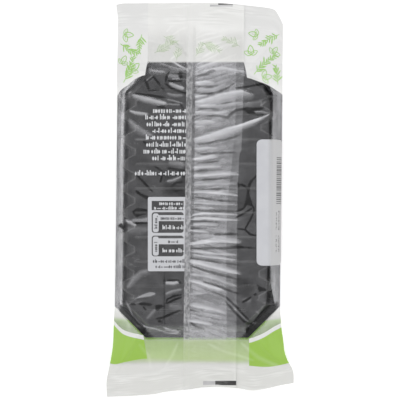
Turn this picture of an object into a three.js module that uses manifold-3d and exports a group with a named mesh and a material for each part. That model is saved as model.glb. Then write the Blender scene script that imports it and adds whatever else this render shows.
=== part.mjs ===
// A pack of fresh chives: a shallow black tray in a printed clear film wrap, which lies on its front with
// its back up. The film is one sealed tube. Both ends are crimped flat, and its long back seam ends in a
// pleated flap that lies to the right. A white sticker goes from the back over the right-hand side.
// Millimetres. X is across the pack, Y along it, Z up. The origin is under the tray's centre, on the surface
// that the pack lies on.

import * as THREE from "three";
import Module from "manifold-3d";
import { mergeVertices } from "three/addons/utils/BufferGeometryUtils.js";

// The tray inside, which gives the wrap its form: an eight-sided dish, upside down
const TRAY_HALF_WIDTH = 45.6; // at the rim, with the film round it
const TRAY_HEIGHT = 18.5; // from the rim, which lies down, to the base, which is up
const BASE_HALF_WIDTH = 39.6;
const BASE_HALF_LENGTH = 70.5;
const BASE_CORNER_START = 58.7; // along the pack, where the base's slanted corners begin
const BASE_END_HALF_WIDTH = 28.3; // between two slanted corners

// The wrap
const RIM_THICKNESS = 1.2; // the upright edge along the pack's long sides
const FLAT_FRONT_HALF_LENGTH = 78; // the front film lies flat this far
const SEAL_START = 97; // along the pack, where the crimped ends begin
const SEAL_THICKNESS = 0.9;
const SEAL_HEIGHT = 3.4; // of the crimped ends' middle over the surface
const SEAL_WAVE = { height: 1.1, length: 96 }; // of the crimped ends, from side to side
const SEAL_TOP_HALF_WIDTH = 47; // of the flat top where it meets a crimped end
const SEAL_EDGE = 1.6; // how far in from the pack's edge its upper side begins, at the least
const END_SAG = 0.07; // of the slack film between the tray and a crimped end
const CRIMP = { ridges: 5, height: 0.2 }; // across each crimped end
const CUT_LENGTH = 108.3; // from the middle to the furthest point of a cut end
const SHOULDER_SOFTNESS = 0.25; // share of a side wall that the film rounds off at the base's edge

// The back seam: a narrow ridge, the flap beside it, and the pleats that the seam draws into the flap
const RIDGE = { from: -8.4, to: -4.4, height: 0.9, edge: 0.8 };
const FLAP = { from: -5.2, to: 20.2, height: 0.6, edge: 0.7 };
const PLEAT = { pitch: 7, height: 0.5, rise: 2, fadeFrom: 9.6, fadeTo: 28.8, fan: 0.0035 };
const PLEAT_DRIFT = { phase: 1.3, length: 31 }; // which makes their pitch uneven
const END_SEAM_SHARE = 0.35; // of the seam's height, on a crimped end

// The sticker
const STICKER = { from: 30.8, low: -35.8, high: 33, cornerRadius: 2.4, thickness: 0.45 };
const STICKER_GAP = 0.35; // between the sticker and the wrap
const STICKER_FOOT = 1.9; // the height of its lower edge, on the side wall
const STICKER_SIDES = 5; // of each rounded corner

// The long edges and the cut ends, as seen from above: pairs of a place along the edge and its offset
const LEFT_EDGE = [
  [-108.4, -51.2], [-99.6, -51.4], [-93.5, -50.1], [-86, -48.6], [-78.7, -47.4], [-70, -46],
  [-60, -45.6], [80, -45.6], [92, -45.2], [99, -45.1], [108.3, -46.2],
];
const RIGHT_EDGE = [
  [-108.4, 51.6], [-100.7, 51.2], [-92.4, 48.1], [-86, 46.6], [-78, 45.9], [-60, 45.6],
  [88, 45.6], [96.3, 45.7], [108.3, 45.7],
];
const LOWER_CUT = [
  [-51.2, -108.3], [-38.5, -107.8], [-25.3, -106.9], [-18.7, -105.6], [-5.5, -104.2], [1.1, -103.2],
  [11, -102.9], [20.9, -103.6], [28.6, -104.8], [34.1, -104.2], [44, -102], [51.2, -100.7],
];
const UPPER_CUT = [
  [-46.2, 107.6], [-41.8, 108.3], [11, 108.3], [18.2, 107.8], [34.1, 106.2], [39.6, 105.3],
  [41.8, 104.1], [44, 100.4], [45.7, 96.9],
];

// The mesh of the wrap: its rows run across the pack, and its columns along it
const BODY_ROWS = 33; // from the middle to the base's slanted corners
const CORNER_ROWS = 7; // along a slanted corner
const END_ROWS = 8; // from the tray to a crimped end
const SEAL_ROWS = 2 * CRIMP.ridges;
const WALL_SHARES = [0, 0.12, 0.3, 0.6, 0.86, 1]; // columns from the base's edge to the pack's edge
const TOP_SHARES = [1 / 3, 2 / 3]; // columns from the middle ones to the base's edge
const SEAM_COLUMNS = [
  RIDGE.from - RIDGE.edge, RIDGE.from, FLAP.from - FLAP.edge, RIDGE.to, RIDGE.to + RIDGE.edge,
];
const MIDDLE_COLUMNS = [-19, -13, ...SEAM_COLUMNS, 1, 5.5, 10, 14.5, 18.5, FLAP.to, FLAP.to + FLAP.edge];

const { lerp, clamp, smoothstep } = THREE.MathUtils;
const { PI, abs, cos, hypot, max, min, sign, sin } = Math;

// The smaller of two numbers, with the corner between them rounded off over `soft`
function softMinimum(a, b, soft) {
  const overlap = max(soft - abs(a - b), 0) / soft;
  return min(a, b) - (overlap * overlap * soft) / 4;
}

// A smooth line through [place, value] pairs, read at one place
function through(pairs, place) {
  const last = pairs.length - 1;
  const at = clamp(place, pairs[0][0], pairs[last][0]);
  const i = max(pairs.findLastIndex(([p]) => p < at) + 1, 1);
  const slopeAt = (k) => {
    const [before, after] = [pairs[max(k - 1, 0)], pairs[min(k + 1, last)]];
    return (after[1] - before[1]) / (after[0] - before[0]);
  };
  const [[p0, v0], [p1, v1]] = [pairs[i - 1], pairs[i]];
  const span = p1 - p0;
  const t = (at - p0) / span;
  const [t2, t3] = [t * t, t * t * t];
  return (
    v0 * (2 * t3 - 3 * t2 + 1) +
    v1 * (3 * t2 - 2 * t3) +
    slopeAt(i - 1) * span * (t3 - 2 * t2 + t) +
    slopeAt(i) * span * (t3 - t2)
  );
}

// 0 on the tray and 1 on a crimped end
const endShare = (y) => clamp((abs(y) - BASE_HALF_LENGTH) / (SEAL_START - BASE_HALF_LENGTH), 0, 1);

// The middle of a crimped end's thickness, which waves from side to side
const sealHeight = (x, y) => SEAL_HEIGHT + SEAL_WAVE.height * sin((2 * PI * x) / SEAL_WAVE.length + sign(y));

// The front film, which is down
function frontHeight(x, y) {
  const lift = smoothstep(abs(y), FLAT_FRONT_HALF_LENGTH, SEAL_START);
  return lift * (sealHeight(x, y) - SEAL_THICKNESS / 2);
}

// Half the width of the pack's raised top
function topHalfWidth(y) {
  const along = abs(y);
  if (along < BASE_CORNER_START) return BASE_HALF_WIDTH;
  if (along < BASE_HALF_LENGTH) {
    const share = (along - BASE_CORNER_START) / (BASE_HALF_LENGTH - BASE_CORNER_START);
    return lerp(BASE_HALF_WIDTH, BASE_END_HALF_WIDTH, share);
  }
  return lerp(BASE_END_HALF_WIDTH, SEAL_TOP_HALF_WIDTH, endShare(y));
}

// 1 between two places across the pack, falling to 0 over `edge` past each
const band = (x, { from, to, edge }) =>
  smoothstep(x, from - edge, from) * (1 - smoothstep(x, to, to + edge));

// The height of the pleats, which fan out to the right
function pleatHeight(x, y) {
  const fromSeam = x - RIDGE.to;
  if (fromSeam <= 0) return 0;
  const fanned = y * (1 - PLEAT.fan * fromSeam);
  const drift = PLEAT_DRIFT.phase * sin((2 * PI * y) / PLEAT_DRIFT.length);
  const wave = (1 + sin((2 * PI * fanned) / PLEAT.pitch + drift)) / 2;
  const fade = 1 - smoothstep(fromSeam, PLEAT.fadeFrom, PLEAT.fadeTo);
  return PLEAT.height * wave * smoothstep(fromSeam, 0, PLEAT.rise) * fade;
}

// The back film, which is up
function backHeight(x, y) {
  const share = endShare(y);
  const front = frontHeight(x, y);
  const edgeHeight = front + lerp(RIM_THICKNESS, SEAL_THICKNESS, share);
  const sealTop = sealHeight(x, y) + SEAL_THICKNESS / 2;
  const top = lerp(TRAY_HEIGHT, sealTop, share + END_SAG * sin(PI * share));
  const halfWidth = abs(through(x < 0 ? LEFT_EDGE : RIGHT_EDGE, y));
  const inward = (halfWidth - abs(x)) / max(halfWidth - topHalfWidth(y), SEAL_EDGE);
  const raised = clamp(softMinimum(inward, 1, SHOULDER_SOFTNESS), 0, 1);
  const pleats = pleatHeight(x, y) * (1 - share);
  const seam = (RIDGE.height * band(x, RIDGE) + FLAP.height * band(x, FLAP)) * lerp(1, END_SEAM_SHARE, share);
  const acrossSeal = clamp((abs(y) - SEAL_START) / (CUT_LENGTH - SEAL_START), 0, 1);
  const crimp = (CRIMP.height * (1 - cos(2 * PI * CRIMP.ridges * acrossSeal))) / 2;
  return lerp(edgeHeight, top, raised) + (seam + pleats + crimp) * raised;
}

// Where each row of the mesh lies along the pack, from the lower end to the upper one
function rowPlaces() {
  const half = [];
  const addRows = (from, to, count) => {
    for (let i = 1; i <= count; i++) half.push(lerp(from, to, i / count));
  };
  addRows(0, BASE_CORNER_START, BODY_ROWS);
  addRows(BASE_CORNER_START, BASE_HALF_LENGTH, CORNER_ROWS);
  addRows(BASE_HALF_LENGTH, SEAL_START, END_ROWS);
  addRows(SEAL_START, CUT_LENGTH, SEAL_ROWS);
  return [...half.map((y) => -y).reverse(), 0, ...half];
}

// Where each column lies across the pack at one row
function columnPlaces(y) {
  const side = (edge, inner) => {
    const top = sign(edge) * min(topHalfWidth(y), abs(edge) - SEAL_EDGE);
    return [...TOP_SHARES.map((s) => lerp(inner, top, s)), ...WALL_SHARES.map((s) => lerp(top, edge, s))];
  };
  const left = side(through(LEFT_EDGE, y), MIDDLE_COLUMNS[0]).reverse();
  return [...left, ...MIDDLE_COLUMNS, ...side(through(RIGHT_EDGE, y), MIDDLE_COLUMNS.at(-1))];
}

// A place of the even rows, moved so that the outer rows follow the cut ends
function followCut(x, y) {
  const pull = smoothstep(abs(y), BASE_HALF_LENGTH, CUT_LENGTH);
  const cut = through(y < 0 ? LOWER_CUT : UPPER_CUT, x);
  return y + pull * (cut - sign(y) * CUT_LENGTH);
}

// The wrap as one closed mesh. Under the tray the front film is flat, so a row there has two points only.
function wrapGeometry() {
  const rows = rowPlaces();
  const [positions, faces] = [[], []];
  const addPoint = (x, y, z) => positions.push(x, y, z) / 3 - 1;
  const grid = rows.map((y) => columnPlaces(y).map((x) => [x, y]));
  const back = grid.map((row) => row.map(([x, y]) => addPoint(x, followCut(x, y), backHeight(x, y))));
  const isFull = (r) => abs(rows[r]) > BASE_HALF_LENGTH;
  const front = grid.map((row, r) =>
    row.map(([x, y], c) =>
      isFull(r) || c === 0 || c === row.length - 1 ? addPoint(x, followCut(x, y), frontHeight(x, y)) : -1,
    ),
  );
  const quad = (a, b, c, d) => faces.push(a, b, c, a, c, d);
  const lastColumn = grid[0].length - 1;
  const lastRow = rows.length - 1;
  const middle = lastColumn >> 1;
  for (let r = 0; r < lastRow; r++) {
    for (let c = 0; c < lastColumn; c++) quad(back[r][c], back[r][c + 1], back[r + 1][c + 1], back[r + 1][c]);
    const [low, high] = [front[r], front[r + 1]];
    quad(back[r][0], back[r + 1][0], high[0], low[0]);
    quad(low[lastColumn], high[lastColumn], back[r + 1][lastColumn], back[r][lastColumn]);
    if (isFull(r) && isFull(r + 1)) {
      for (let c = 0; c < lastColumn; c++) quad(low[c + 1], low[c], high[c], high[c + 1]);
    } else if (isFull(r) || isFull(r + 1)) {
      const [full, ends] = isFull(r) ? [low, high] : [high, low];
      const facing = (a, b, c) => (isFull(r) ? faces.push(b, a, c) : faces.push(a, b, c));
      for (let c = 0; c < lastColumn; c++) facing(full[c], full[c + 1], ends[c < middle ? 0 : lastColumn]);
      facing(full[middle], ends[lastColumn], ends[0]);
    } else {
      quad(low[lastColumn], low[0], high[0], high[lastColumn]);
    }
  }
  for (let c = 0; c < lastColumn; c++) {
    quad(back[0][c], front[0][c], front[0][c + 1], back[0][c + 1]);
    quad(back[lastRow][c + 1], front[lastRow][c + 1], front[lastRow][c], back[lastRow][c]);
  }
  const geometry = new THREE.BufferGeometry();
  geometry.setAttribute("position", new THREE.Float32BufferAttribute(positions, 3));
  geometry.setIndex(faces);
  geometry.computeVertexNormals();
  return geometry;
}

// The wrap's surface under the sticker, from the back down to the sticker's foot, as points of X and Z
function underSticker() {
  const bend = SHOULDER_SOFTNESS * (TRAY_HALF_WIDTH - BASE_HALF_WIDTH);
  const bendPlaces = [-1, -0.5, 0, 0.5, 1].map((share) => BASE_HALF_WIDTH + share * bend);
  const footShare = (STICKER_FOOT - RIM_THICKNESS) / (TRAY_HEIGHT - RIM_THICKNESS);
  const foot = lerp(TRAY_HALF_WIDTH, BASE_HALF_WIDTH, footShare);
  const places = [STICKER.from, lerp(STICKER.from, BASE_HALF_WIDTH, 0.5), ...bendPlaces, foot];
  return places.map((x) => new THREE.Vector2(x, backHeight(x, 0)));
}

// A line moved outwards by a distance, each point along the mean of its two sides' normals
function movedOut(line, distance) {
  return line.map((point, i) => {
    const before = line[max(i - 1, 0)];
    const after = line[min(i + 1, line.length - 1)];
    const [dx, dz] = [after.x - before.x, after.y - before.y];
    const length = hypot(dx, dz);
    return new THREE.Vector2(point.x - (dz / length) * distance, point.y + (dx / length) * distance);
  });
}

// The sticker's rounded outline as seen from above, a little past its foot
function stickerOutline() {
  const { from, low, high, cornerRadius } = STICKER;
  const right = TRAY_HALF_WIDTH + cornerRadius;
  const outline = new THREE.Shape();
  outline.moveTo(right, low);
  outline.lineTo(right, high);
  outline.absarc(from + cornerRadius, high - cornerRadius, cornerRadius, PI / 2, PI);
  outline.absarc(from + cornerRadius, low + cornerRadius, cornerRadius, PI, 1.5 * PI);
  return outline;
}

const wasm = await Module();
wasm.setup();

// A closed geometry as a solid that can be joined and cut
function toSolid(geometry) {
  const bare = geometry.clone().deleteAttribute("normal").deleteAttribute("uv");
  const merged = mergeVertices(bare);
  return new wasm.Manifold(
    new wasm.Mesh({
      numProp: 3,
      vertProperties: merged.attributes.position.array,
      triVerts: new Uint32Array(merged.index.array),
    }),
  );
}

// A solid back as a geometry
function toGeometry(solid) {
  const mesh = solid.getMesh();
  const geometry = new THREE.BufferGeometry();
  geometry.setAttribute("position", new THREE.BufferAttribute(mesh.vertProperties, 3));
  geometry.setIndex(new THREE.BufferAttribute(mesh.triVerts, 1));
  geometry.computeVertexNormals();
  return geometry;
}

// The sticker: a thin plate bent over the side, cut to its rounded outline
function stickerGeometry() {
  const surface = underSticker();
  const inner = movedOut(surface, STICKER_GAP);
  const outer = movedOut(surface, STICKER_GAP + STICKER.thickness);
  const section = new THREE.Shape([...outer, ...inner.reverse()]);
  const length = STICKER.high - STICKER.low;
  const bent = new THREE.ExtrudeGeometry(section, { depth: length, bevelEnabled: false });
  bent.rotateX(PI / 2); // the section's plane is upright, and it runs along the pack
  bent.translate(0, STICKER.high, 0);
  const cutter = new THREE.ExtrudeGeometry(stickerOutline(), {
    depth: 2 * TRAY_HEIGHT,
    bevelEnabled: false,
    curveSegments: STICKER_SIDES,
  });
  return toGeometry(toSolid(bent).intersect(toSolid(cutter)));
}

// A named mesh with its own finish
function named(name, geometry, finish) {
  const mesh = new THREE.Mesh(geometry, new THREE.MeshStandardMaterial(finish));
  mesh.name = name;
  return mesh;
}

const pack = new THREE.Group();
pack.add(
  named("film_wrap", wrapGeometry(), { color: 0x8f9190, roughness: 0.25, metalness: 0 }),
  named("side_sticker", stickerGeometry(), { color: 0xcbccd0, roughness: 0.6, metalness: 0 }),
);

export default pack;
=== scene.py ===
"""A pack of fresh chives: a black tray in a printed clear film wrap, with its back up.

The film is a tube round the tray. Both of its ends are crimped, and its long back seam is folded over to the
right, where the heat has drawn it into pleats. A paper sticker goes from the back over the right-hand side.
Shapes are worked out in millimetres, in the frame's axes, and become metres when a mesh is made.
"""

import logging
import math
from dataclasses import dataclass, field
from enum import Enum
from typing import Any, Callable, Iterable, Sequence

import bpy
import numpy as np
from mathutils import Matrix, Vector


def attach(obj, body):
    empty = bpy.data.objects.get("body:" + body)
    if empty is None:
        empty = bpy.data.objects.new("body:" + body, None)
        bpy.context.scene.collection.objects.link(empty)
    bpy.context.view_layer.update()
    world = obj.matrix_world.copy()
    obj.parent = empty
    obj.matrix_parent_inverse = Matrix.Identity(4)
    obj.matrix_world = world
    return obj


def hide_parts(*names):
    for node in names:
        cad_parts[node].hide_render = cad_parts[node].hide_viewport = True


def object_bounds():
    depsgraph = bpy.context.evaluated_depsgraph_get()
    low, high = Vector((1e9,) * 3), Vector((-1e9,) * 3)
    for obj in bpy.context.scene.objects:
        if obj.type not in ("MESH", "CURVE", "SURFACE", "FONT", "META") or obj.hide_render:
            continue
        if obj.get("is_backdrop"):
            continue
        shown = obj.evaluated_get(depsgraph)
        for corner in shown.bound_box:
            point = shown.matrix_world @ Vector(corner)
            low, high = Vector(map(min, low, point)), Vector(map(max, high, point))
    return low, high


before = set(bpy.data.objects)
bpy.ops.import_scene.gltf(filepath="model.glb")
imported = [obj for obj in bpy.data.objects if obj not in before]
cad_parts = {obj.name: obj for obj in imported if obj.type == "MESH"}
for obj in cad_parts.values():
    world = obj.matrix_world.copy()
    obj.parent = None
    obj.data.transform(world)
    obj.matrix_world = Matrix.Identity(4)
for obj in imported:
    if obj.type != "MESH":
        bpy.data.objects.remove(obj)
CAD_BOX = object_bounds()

MM = 0.001
BODY = "root"
LOG = logging.getLogger("pack")
Array = np.ndarray
Pairs = Sequence[tuple[float, float]]
Colour = tuple[float, float, float, float]
Piece = bpy.types.Object
Material = bpy.types.Material
Tree = bpy.types.NodeTree
Node = bpy.types.Node
Socket = bpy.types.NodeSocket


class Slot(Enum):
    """The record's material slots."""

    FILM = "film"
    PAPER = "sticker_paper"
    TRAY = "tray_plastic"
    INK = "ink"
    STALKS = "stalks"


# Numbers.


def smoothstep(value: Array, low: float, high: float) -> Array:
    """Goes from 0 at `low` to 1 at `high`, level at both."""
    t = np.clip((value - low) / (high - low), 0, 1)
    return t * t * (3 - 2 * t)


def lerp(a: Array, b: Array, share: Array) -> Array:
    """The value that lies a share of the way from `a` to `b`."""
    return a + (b - a) * share


def band(value: Array, low: Array, high: Array, edge: float) -> Array:
    """1 between `low` and `high`, falling to 0 over `edge` outside them."""
    return smoothstep(value - low, -edge, 0) * (1 - smoothstep(value - high, 0, edge))


def soft_minimum(a: Array, b: float, soft: float) -> Array:
    """The smaller of two numbers, with the corner between them rounded off over `soft`."""
    overlap = np.maximum(soft - np.abs(a - b), 0) / soft
    return np.minimum(a, b) - overlap * overlap * soft / 4


def through(pairs: Pairs, place: Array) -> Array:
    """A smooth line through [place, value] pairs.

    Args:
        pairs: the points, in rising order of place.
        place: where to read the line. Outside the pairs it keeps their end values.

    Returns:
        The line's value at each place.
    """
    places, values = np.array(pairs, float).T
    at = np.clip(place, places[0], places[-1])
    i = np.clip(np.searchsorted(places, at), 1, len(places) - 1)
    before = np.maximum(np.arange(len(places)) - 1, 0)
    after = np.minimum(np.arange(len(places)) + 1, len(places) - 1)
    slopes = (values[after] - values[before]) / (places[after] - places[before])
    span = places[i] - places[i - 1]
    t = (at - places[i - 1]) / span
    return (
        values[i - 1] * (2 * t**3 - 3 * t**2 + 1)
        + values[i] * (3 * t**2 - 2 * t**3)
        + slopes[i - 1] * span * (t**3 - 2 * t**2 + t)
        + slopes[i] * span * (t**3 - t**2)
    )


def paint(*srgb: int) -> Colour:
    """A colour of 0 to 255 as Blender's linear numbers, with full cover."""
    shares = [channel / 255 for channel in srgb]
    return (*(c / 12.92 if c <= 0.04045 else ((c + 0.055) / 1.055) ** 2.4 for c in shares), 1)


class Noise:
    """Smooth seeded gradient noise over a plane, from about -1 to 1."""

    SIZE = 128

    def __init__(self, seed: int) -> None:
        """Draws the lattice's directions."""
        angles = np.random.default_rng(seed).random((self.SIZE, self.SIZE)) * math.tau
        self.directions = np.stack([np.cos(angles), np.sin(angles)], axis=-1)

    def at(self, u: Array, v: Array) -> Array:
        """The noise, from about -1 to 1.

        Args:
            u: places across, counted in lattice steps.
            v: places along, counted the same way.

        Returns:
            The noise at each place.
        """
        iu, iv = np.floor(u).astype(int), np.floor(v).astype(int)
        fu, fv = u - iu, v - iv
        total = np.zeros(np.broadcast(u, v).shape)
        for du in (0, 1):
            for dv in (0, 1):
                d = self.directions[(iu + du) % self.SIZE, (iv + dv) % self.SIZE]
                corner = d[..., 0] * (fu - du) + d[..., 1] * (fv - dv)
                total += corner * self._ease(1 - abs(du - fu)) * self._ease(1 - abs(dv - fv))
        return total * 1.5

    def ridges(self, u: Array, v: Array) -> Array:
        """Sharp crests of height 1 on a floor of 0."""
        return np.clip(1 - 2.2 * np.abs(self.at(u, v)), 0, 1)

    @staticmethod
    def _ease(t: Array) -> Array:
        """A smooth step from 0 to 1."""
        return t * t * t * (t * (6 * t - 15) + 10)


# The wrap's form.


@dataclass(frozen=True)
class PackShape:
    """The wrap's form without its wrinkles, in millimetres: the CAD solid's form, turned a little.

    The methods' x and y are places across and along.
    """

    tray_half_width: float = 45.6
    tray_height: float = 18.5
    base_half_width: float = 40.1
    base_half_length: float = 70.5
    base_corner_start: float = 58.7
    base_end_half_width: float = 28.3
    rim_height: float = 0.6
    flat_front_half_length: float = 78
    seal_start: float = 97
    seal_height: float = 3.4
    seal_wave: float = 1.1
    seal_wave_length: float = 96
    seal_gap: float = 0.16
    seal_top_half_width: float = 47
    seal_edge: float = 1.6
    end_sag: float = 0.07
    cut_length: float = 108.3
    shoulder_softness: float = 0.14
    tray_middle: float = -0.7
    base_middle: float = -1.4
    tilt: float = 0.012
    left_edge: Pairs = (
        (-108.4, -51.2), (-99.6, -51.4), (-93.5, -50.3), (-86, -48.8), (-78.7, -47.9), (-70, -47.6),
        (-56, -47), (56, -45.65), (70, -45.8), (99, -45.2), (108.3, -46.2),
    )
    right_edge: Pairs = (
        (-108.4, 51.6), (-100.7, 51.2), (-92.4, 48.1), (-86, 46.6), (-78, 45.9), (-70, 44.9), (-58, 44.2),
        (56, 45.5), (88, 45.6), (96.3, 45.7), (108.3, 45.7),
    )
    lower_cut: Pairs = (
        (-51.2, -108.3), (-38.5, -107.8), (-25.3, -106.9), (-18.7, -105.6), (-5.5, -104.2), (1.1, -103.2),
        (11, -102.9), (20.9, -103.6), (28.6, -104.8), (34.1, -104.2), (44, -102), (51.2, -100.7),
    )
    upper_cut: Pairs = (
        (-46.2, 107.6), (-41.8, 108.3), (11, 108.3), (18.2, 107.8), (34.1, 106.2), (39.6, 105.3),
        (41.8, 104.1), (44, 100.4), (45.7, 96.9),
    )

    def end_share(self, y: Array) -> Array:
        """0 on the tray and 1 on a crimped end."""
        share = (np.abs(y) - self.base_half_length) / (self.seal_start - self.base_half_length)
        return soft_minimum(-soft_minimum(-share, 0, 0.1), 1, 0.14)

    def half_width(self, x: Array, y: Array) -> Array:
        """From the middle line to the pack's edge, on the side of `x`."""
        return np.where(x < 0, -through(self.left_edge, y), through(self.right_edge, y))

    def top_half_width(self, y: Array) -> Array:
        """Half the width of the pack's raised top."""
        along = np.abs(y)
        corner = (along - self.base_corner_start) / (self.base_half_length - self.base_corner_start)
        base = lerp(self.base_half_width, self.base_end_half_width, np.clip(corner, 0, 1))
        end = lerp(self.base_end_half_width, self.seal_top_half_width, self.end_share(y))
        return np.where(along < self.base_half_length, base, end)

    def top_edge(self, x: Array, y: Array) -> Array:
        """From the middle line to the edge of the pack's raised top, on the side of `x`."""
        shift = (self.base_middle + self.tilt * y) * (1 - self.end_share(y))
        return self.top_half_width(y) + np.sign(x) * shift

    def seal_middle(self, x: Array, y: Array) -> Array:
        """The height of a crimped end's middle."""
        wave = np.sin(math.tau * x / self.seal_wave_length + np.sign(y))
        return self.seal_height + self.seal_wave * wave

    def raised(self, x: Array, y: Array) -> Array:
        """0 at the pack's edge and 1 on its top."""
        half = self.half_width(x, y)
        inward = (half - np.abs(x)) / np.maximum(half - self.top_edge(x, y), self.seal_edge)
        return np.clip(soft_minimum(inward, 1, self.shoulder_softness), 0, 1)

    def edge_height(self, x: Array, y: Array) -> Array:
        """The height at which the front and the back meet along the pack's sides."""
        lift = smoothstep(np.abs(y), self.flat_front_half_length, self.seal_start)
        return lerp(self.rim_height, self.seal_middle(x, y), lift)

    def front(self, x: Array, y: Array) -> Array:
        """The height of the front film, which is down."""
        half = self.half_width(x, y)
        inward = smoothstep(half - np.abs(x), 0, 2)
        lift = smoothstep(np.abs(y), self.flat_front_half_length, self.seal_start)
        middle = lift * (self.seal_middle(x, y) - self.seal_gap / 2)
        return lerp(self.edge_height(x, y), middle, inward)

    def back(self, x: Array, y: Array) -> Array:
        """The height of the back film, which is up."""
        share = self.end_share(y)
        seal_top = self.seal_middle(x, y) + self.seal_gap / 2
        top = lerp(self.tray_height, seal_top, share + self.end_sag * np.sin(math.pi * share))
        return lerp(self.edge_height(x, y), top, self.raised(x, y))

    def follow_cut(self, x: Array, y: Array) -> Array:
        """Moves even rows so that the outer ones follow the cut ends."""
        pull = smoothstep(np.abs(y), self.base_half_length, self.cut_length)
        cut = np.where(y < 0, through(self.lower_cut, x), through(self.upper_cut, x))
        return y + pull * (cut - np.sign(y) * self.cut_length)

    def even_row(self, x: Array, y: Array) -> Array:
        """The even row that `follow_cut` moves to `y`."""
        row = np.array(y, float)
        for _ in range(6):
            row = row + (y - self.follow_cut(x, row))
        return row

    def across(self, x: Array, y: Array) -> Array:
        """How far a place lies from the middle line, measured along the film and over the side wall."""
        top, half = self.top_edge(x, y), self.half_width(x, y)
        wall = np.hypot(half - top, self.back(top * np.sign(x), y) - self.edge_height(x, y))
        share = np.clip((np.abs(x) - top) / np.maximum(half - top, self.seal_edge), 0, 1)
        return np.sign(x) * (np.minimum(np.abs(x), top) + share * wall)


@dataclass(frozen=True)
class Seam:
    """Where the back seam's root and its two plies lie. Places across are in millimetres."""

    root_from: float = -8.2
    root_to: float = -4.9
    tilt: float = 0.011
    wide_edge: Pairs = (
        (-108.4, 19.9), (-76, 19.8), (0, 20.4), (22, 21.3), (25, 21.6), (27.5, 22.5), (75, 24), (108.3, 24.4),
    )
    narrow_edge: Pairs = (
        (-108.4, 14.6), (-53, 14.4), (-21, 14.4), (0, 15.1), (18, 17.2), (41, 19.1), (60, 19.6), (108.3, 20),
    )

    def root(self, y: Array) -> tuple[Array, Array]:
        """The root's left and right edge."""
        return self.root_from + self.tilt * y, self.root_to + self.tilt * y


@dataclass(frozen=True)
class Fold:
    """A fold in the film, placed along a given line of points. All in millimetres.

    Attributes:
        width: how far it reaches on each side of its line.
        painted_light: the painted light on it, from -1 (painted shade along a line where it touches the tray)
            to 1 (a painted highlight on a bright crest).
        line: the points that its crest goes through.
        steepness: its height for its width.
    """

    width: float
    painted_light: float
    line: Pairs
    steepness: float = 0.1

    def add_to(self, x: Array, y: Array, height: Array, painted_light: Array, lean: float, fade: float) -> None:
        """Adds the fold to the fields of height and painted light, near its line only.

        Args:
            x: places across.
            y: places along.
            height: the field of height, which is changed.
            painted_light: the field of painted highlights and shade, which is changed.
            lean: over 0 where the fold's upper side is the steeper one, and under 0 where its lower side is.
            fade: how much weaker it gets towards the end of its line.
        """
        line = np.array(self.line, float)
        reach = self.width * (1 + abs(lean))
        low, high = line.min(axis=0) - reach, line.max(axis=0) + reach
        near = (x > low[0]) & (x < high[0]) & (y > low[1]) & (y < high[1])
        if not near.any():
            return
        px, py = x[near], y[near]
        steps = np.diff(line, axis=0)
        lengths = np.hypot(steps[:, 0], steps[:, 1])
        before = np.concatenate([[0], np.cumsum(lengths)])
        best, share, above = np.full(px.shape, np.inf), np.zeros(px.shape), np.zeros(px.shape)
        for (x0, y0), (dx, dy), length, start in zip(line, steps, lengths, before):
            t = np.clip(((px - x0) * dx + (py - y0) * dy) / length**2, 0, 1)
            off = np.hypot(px - x0 - t * dx, py - y0 - t * dy)
            side = np.sign((py - y0) * dx - (px - x0) * dy) * np.sign(dx)
            share = np.where(off < best, (start + t * length) / before[-1], share)
            above = np.where(off < best, side, above)
            best = np.minimum(best, off)
        inside = np.sqrt(np.clip(4 * share * (1 - share), 0, 1))
        width = self.width * (0.35 + 0.65 * inside) * (1 - lean * above)
        rise = 1 - np.clip(best / width, 0, 1)
        crest = rise**1.5 * (1.5 - 0.5 * rise) if self.painted_light > 0 else smoothstep(rise, 0, 0.75)
        crest = crest * np.clip(1.6 * inside, 0, 1) * (1 - share) ** fade
        # The fold's height, and its painted highlight or painted shade.
        height[near] += self.steepness * self.width * max(self.painted_light, -0.4) * crest
        painted_light[near] += self.painted_light * crest


@dataclass(frozen=True)
class Patch:
    """An area of painted light or shade on the film, inside a given outline, in millimetres."""

    painted_light: float
    edge: float
    outline: Pairs

    def add_to(self, x: Array, y: Array, painted_light: Array) -> None:
        """Adds the patch to the field of painted light, near its outline only.

        Args:
            x: places across.
            y: places along.
            painted_light: the field of painted highlights and shade, which is changed.
        """
        line = np.array(self.outline, float)
        low, high = line.min(axis=0) - self.edge, line.max(axis=0) + self.edge
        near = (x > low[0]) & (x < high[0]) & (y > low[1]) & (y < high[1])
        px, py = x[near], y[near]
        off, inside = np.full(px.shape, np.inf), np.zeros(px.shape, bool)
        for (x0, y0), (x1, y1) in zip(line, np.roll(line, -1, axis=0)):
            dx, dy = x1 - x0, y1 - y0
            t = np.clip(((px - x0) * dx + (py - y0) * dy) / (dx * dx + dy * dy), 0, 1)
            off = np.minimum(off, np.hypot(px - x0 - t * dx, py - y0 - t * dy))
            if dy:
                inside ^= ((y0 > py) != (y1 > py)) & (px < x0 + dx * (py - y0) / dy)
        depth = np.where(inside, off, -off)
        # Paints light or shade over the patch.
        painted_light[near] += self.painted_light * smoothstep(depth, -0.5 * self.edge, 0.5 * self.edge)


def listed(kind: type, *rows: Sequence[Any]) -> tuple[Any, ...]:
    """One thing of a kind for each row of its values."""
    return tuple(kind(*row) for row in rows)


def from_rows(kind: type, *rows: Sequence[float]) -> list[Any]:
    """Folds or patches from rows that hold two numbers and then the line's points, one after another."""
    return [kind(row[0], row[1], tuple(zip(row[2::2], row[3::2]))) for row in rows]
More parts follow.
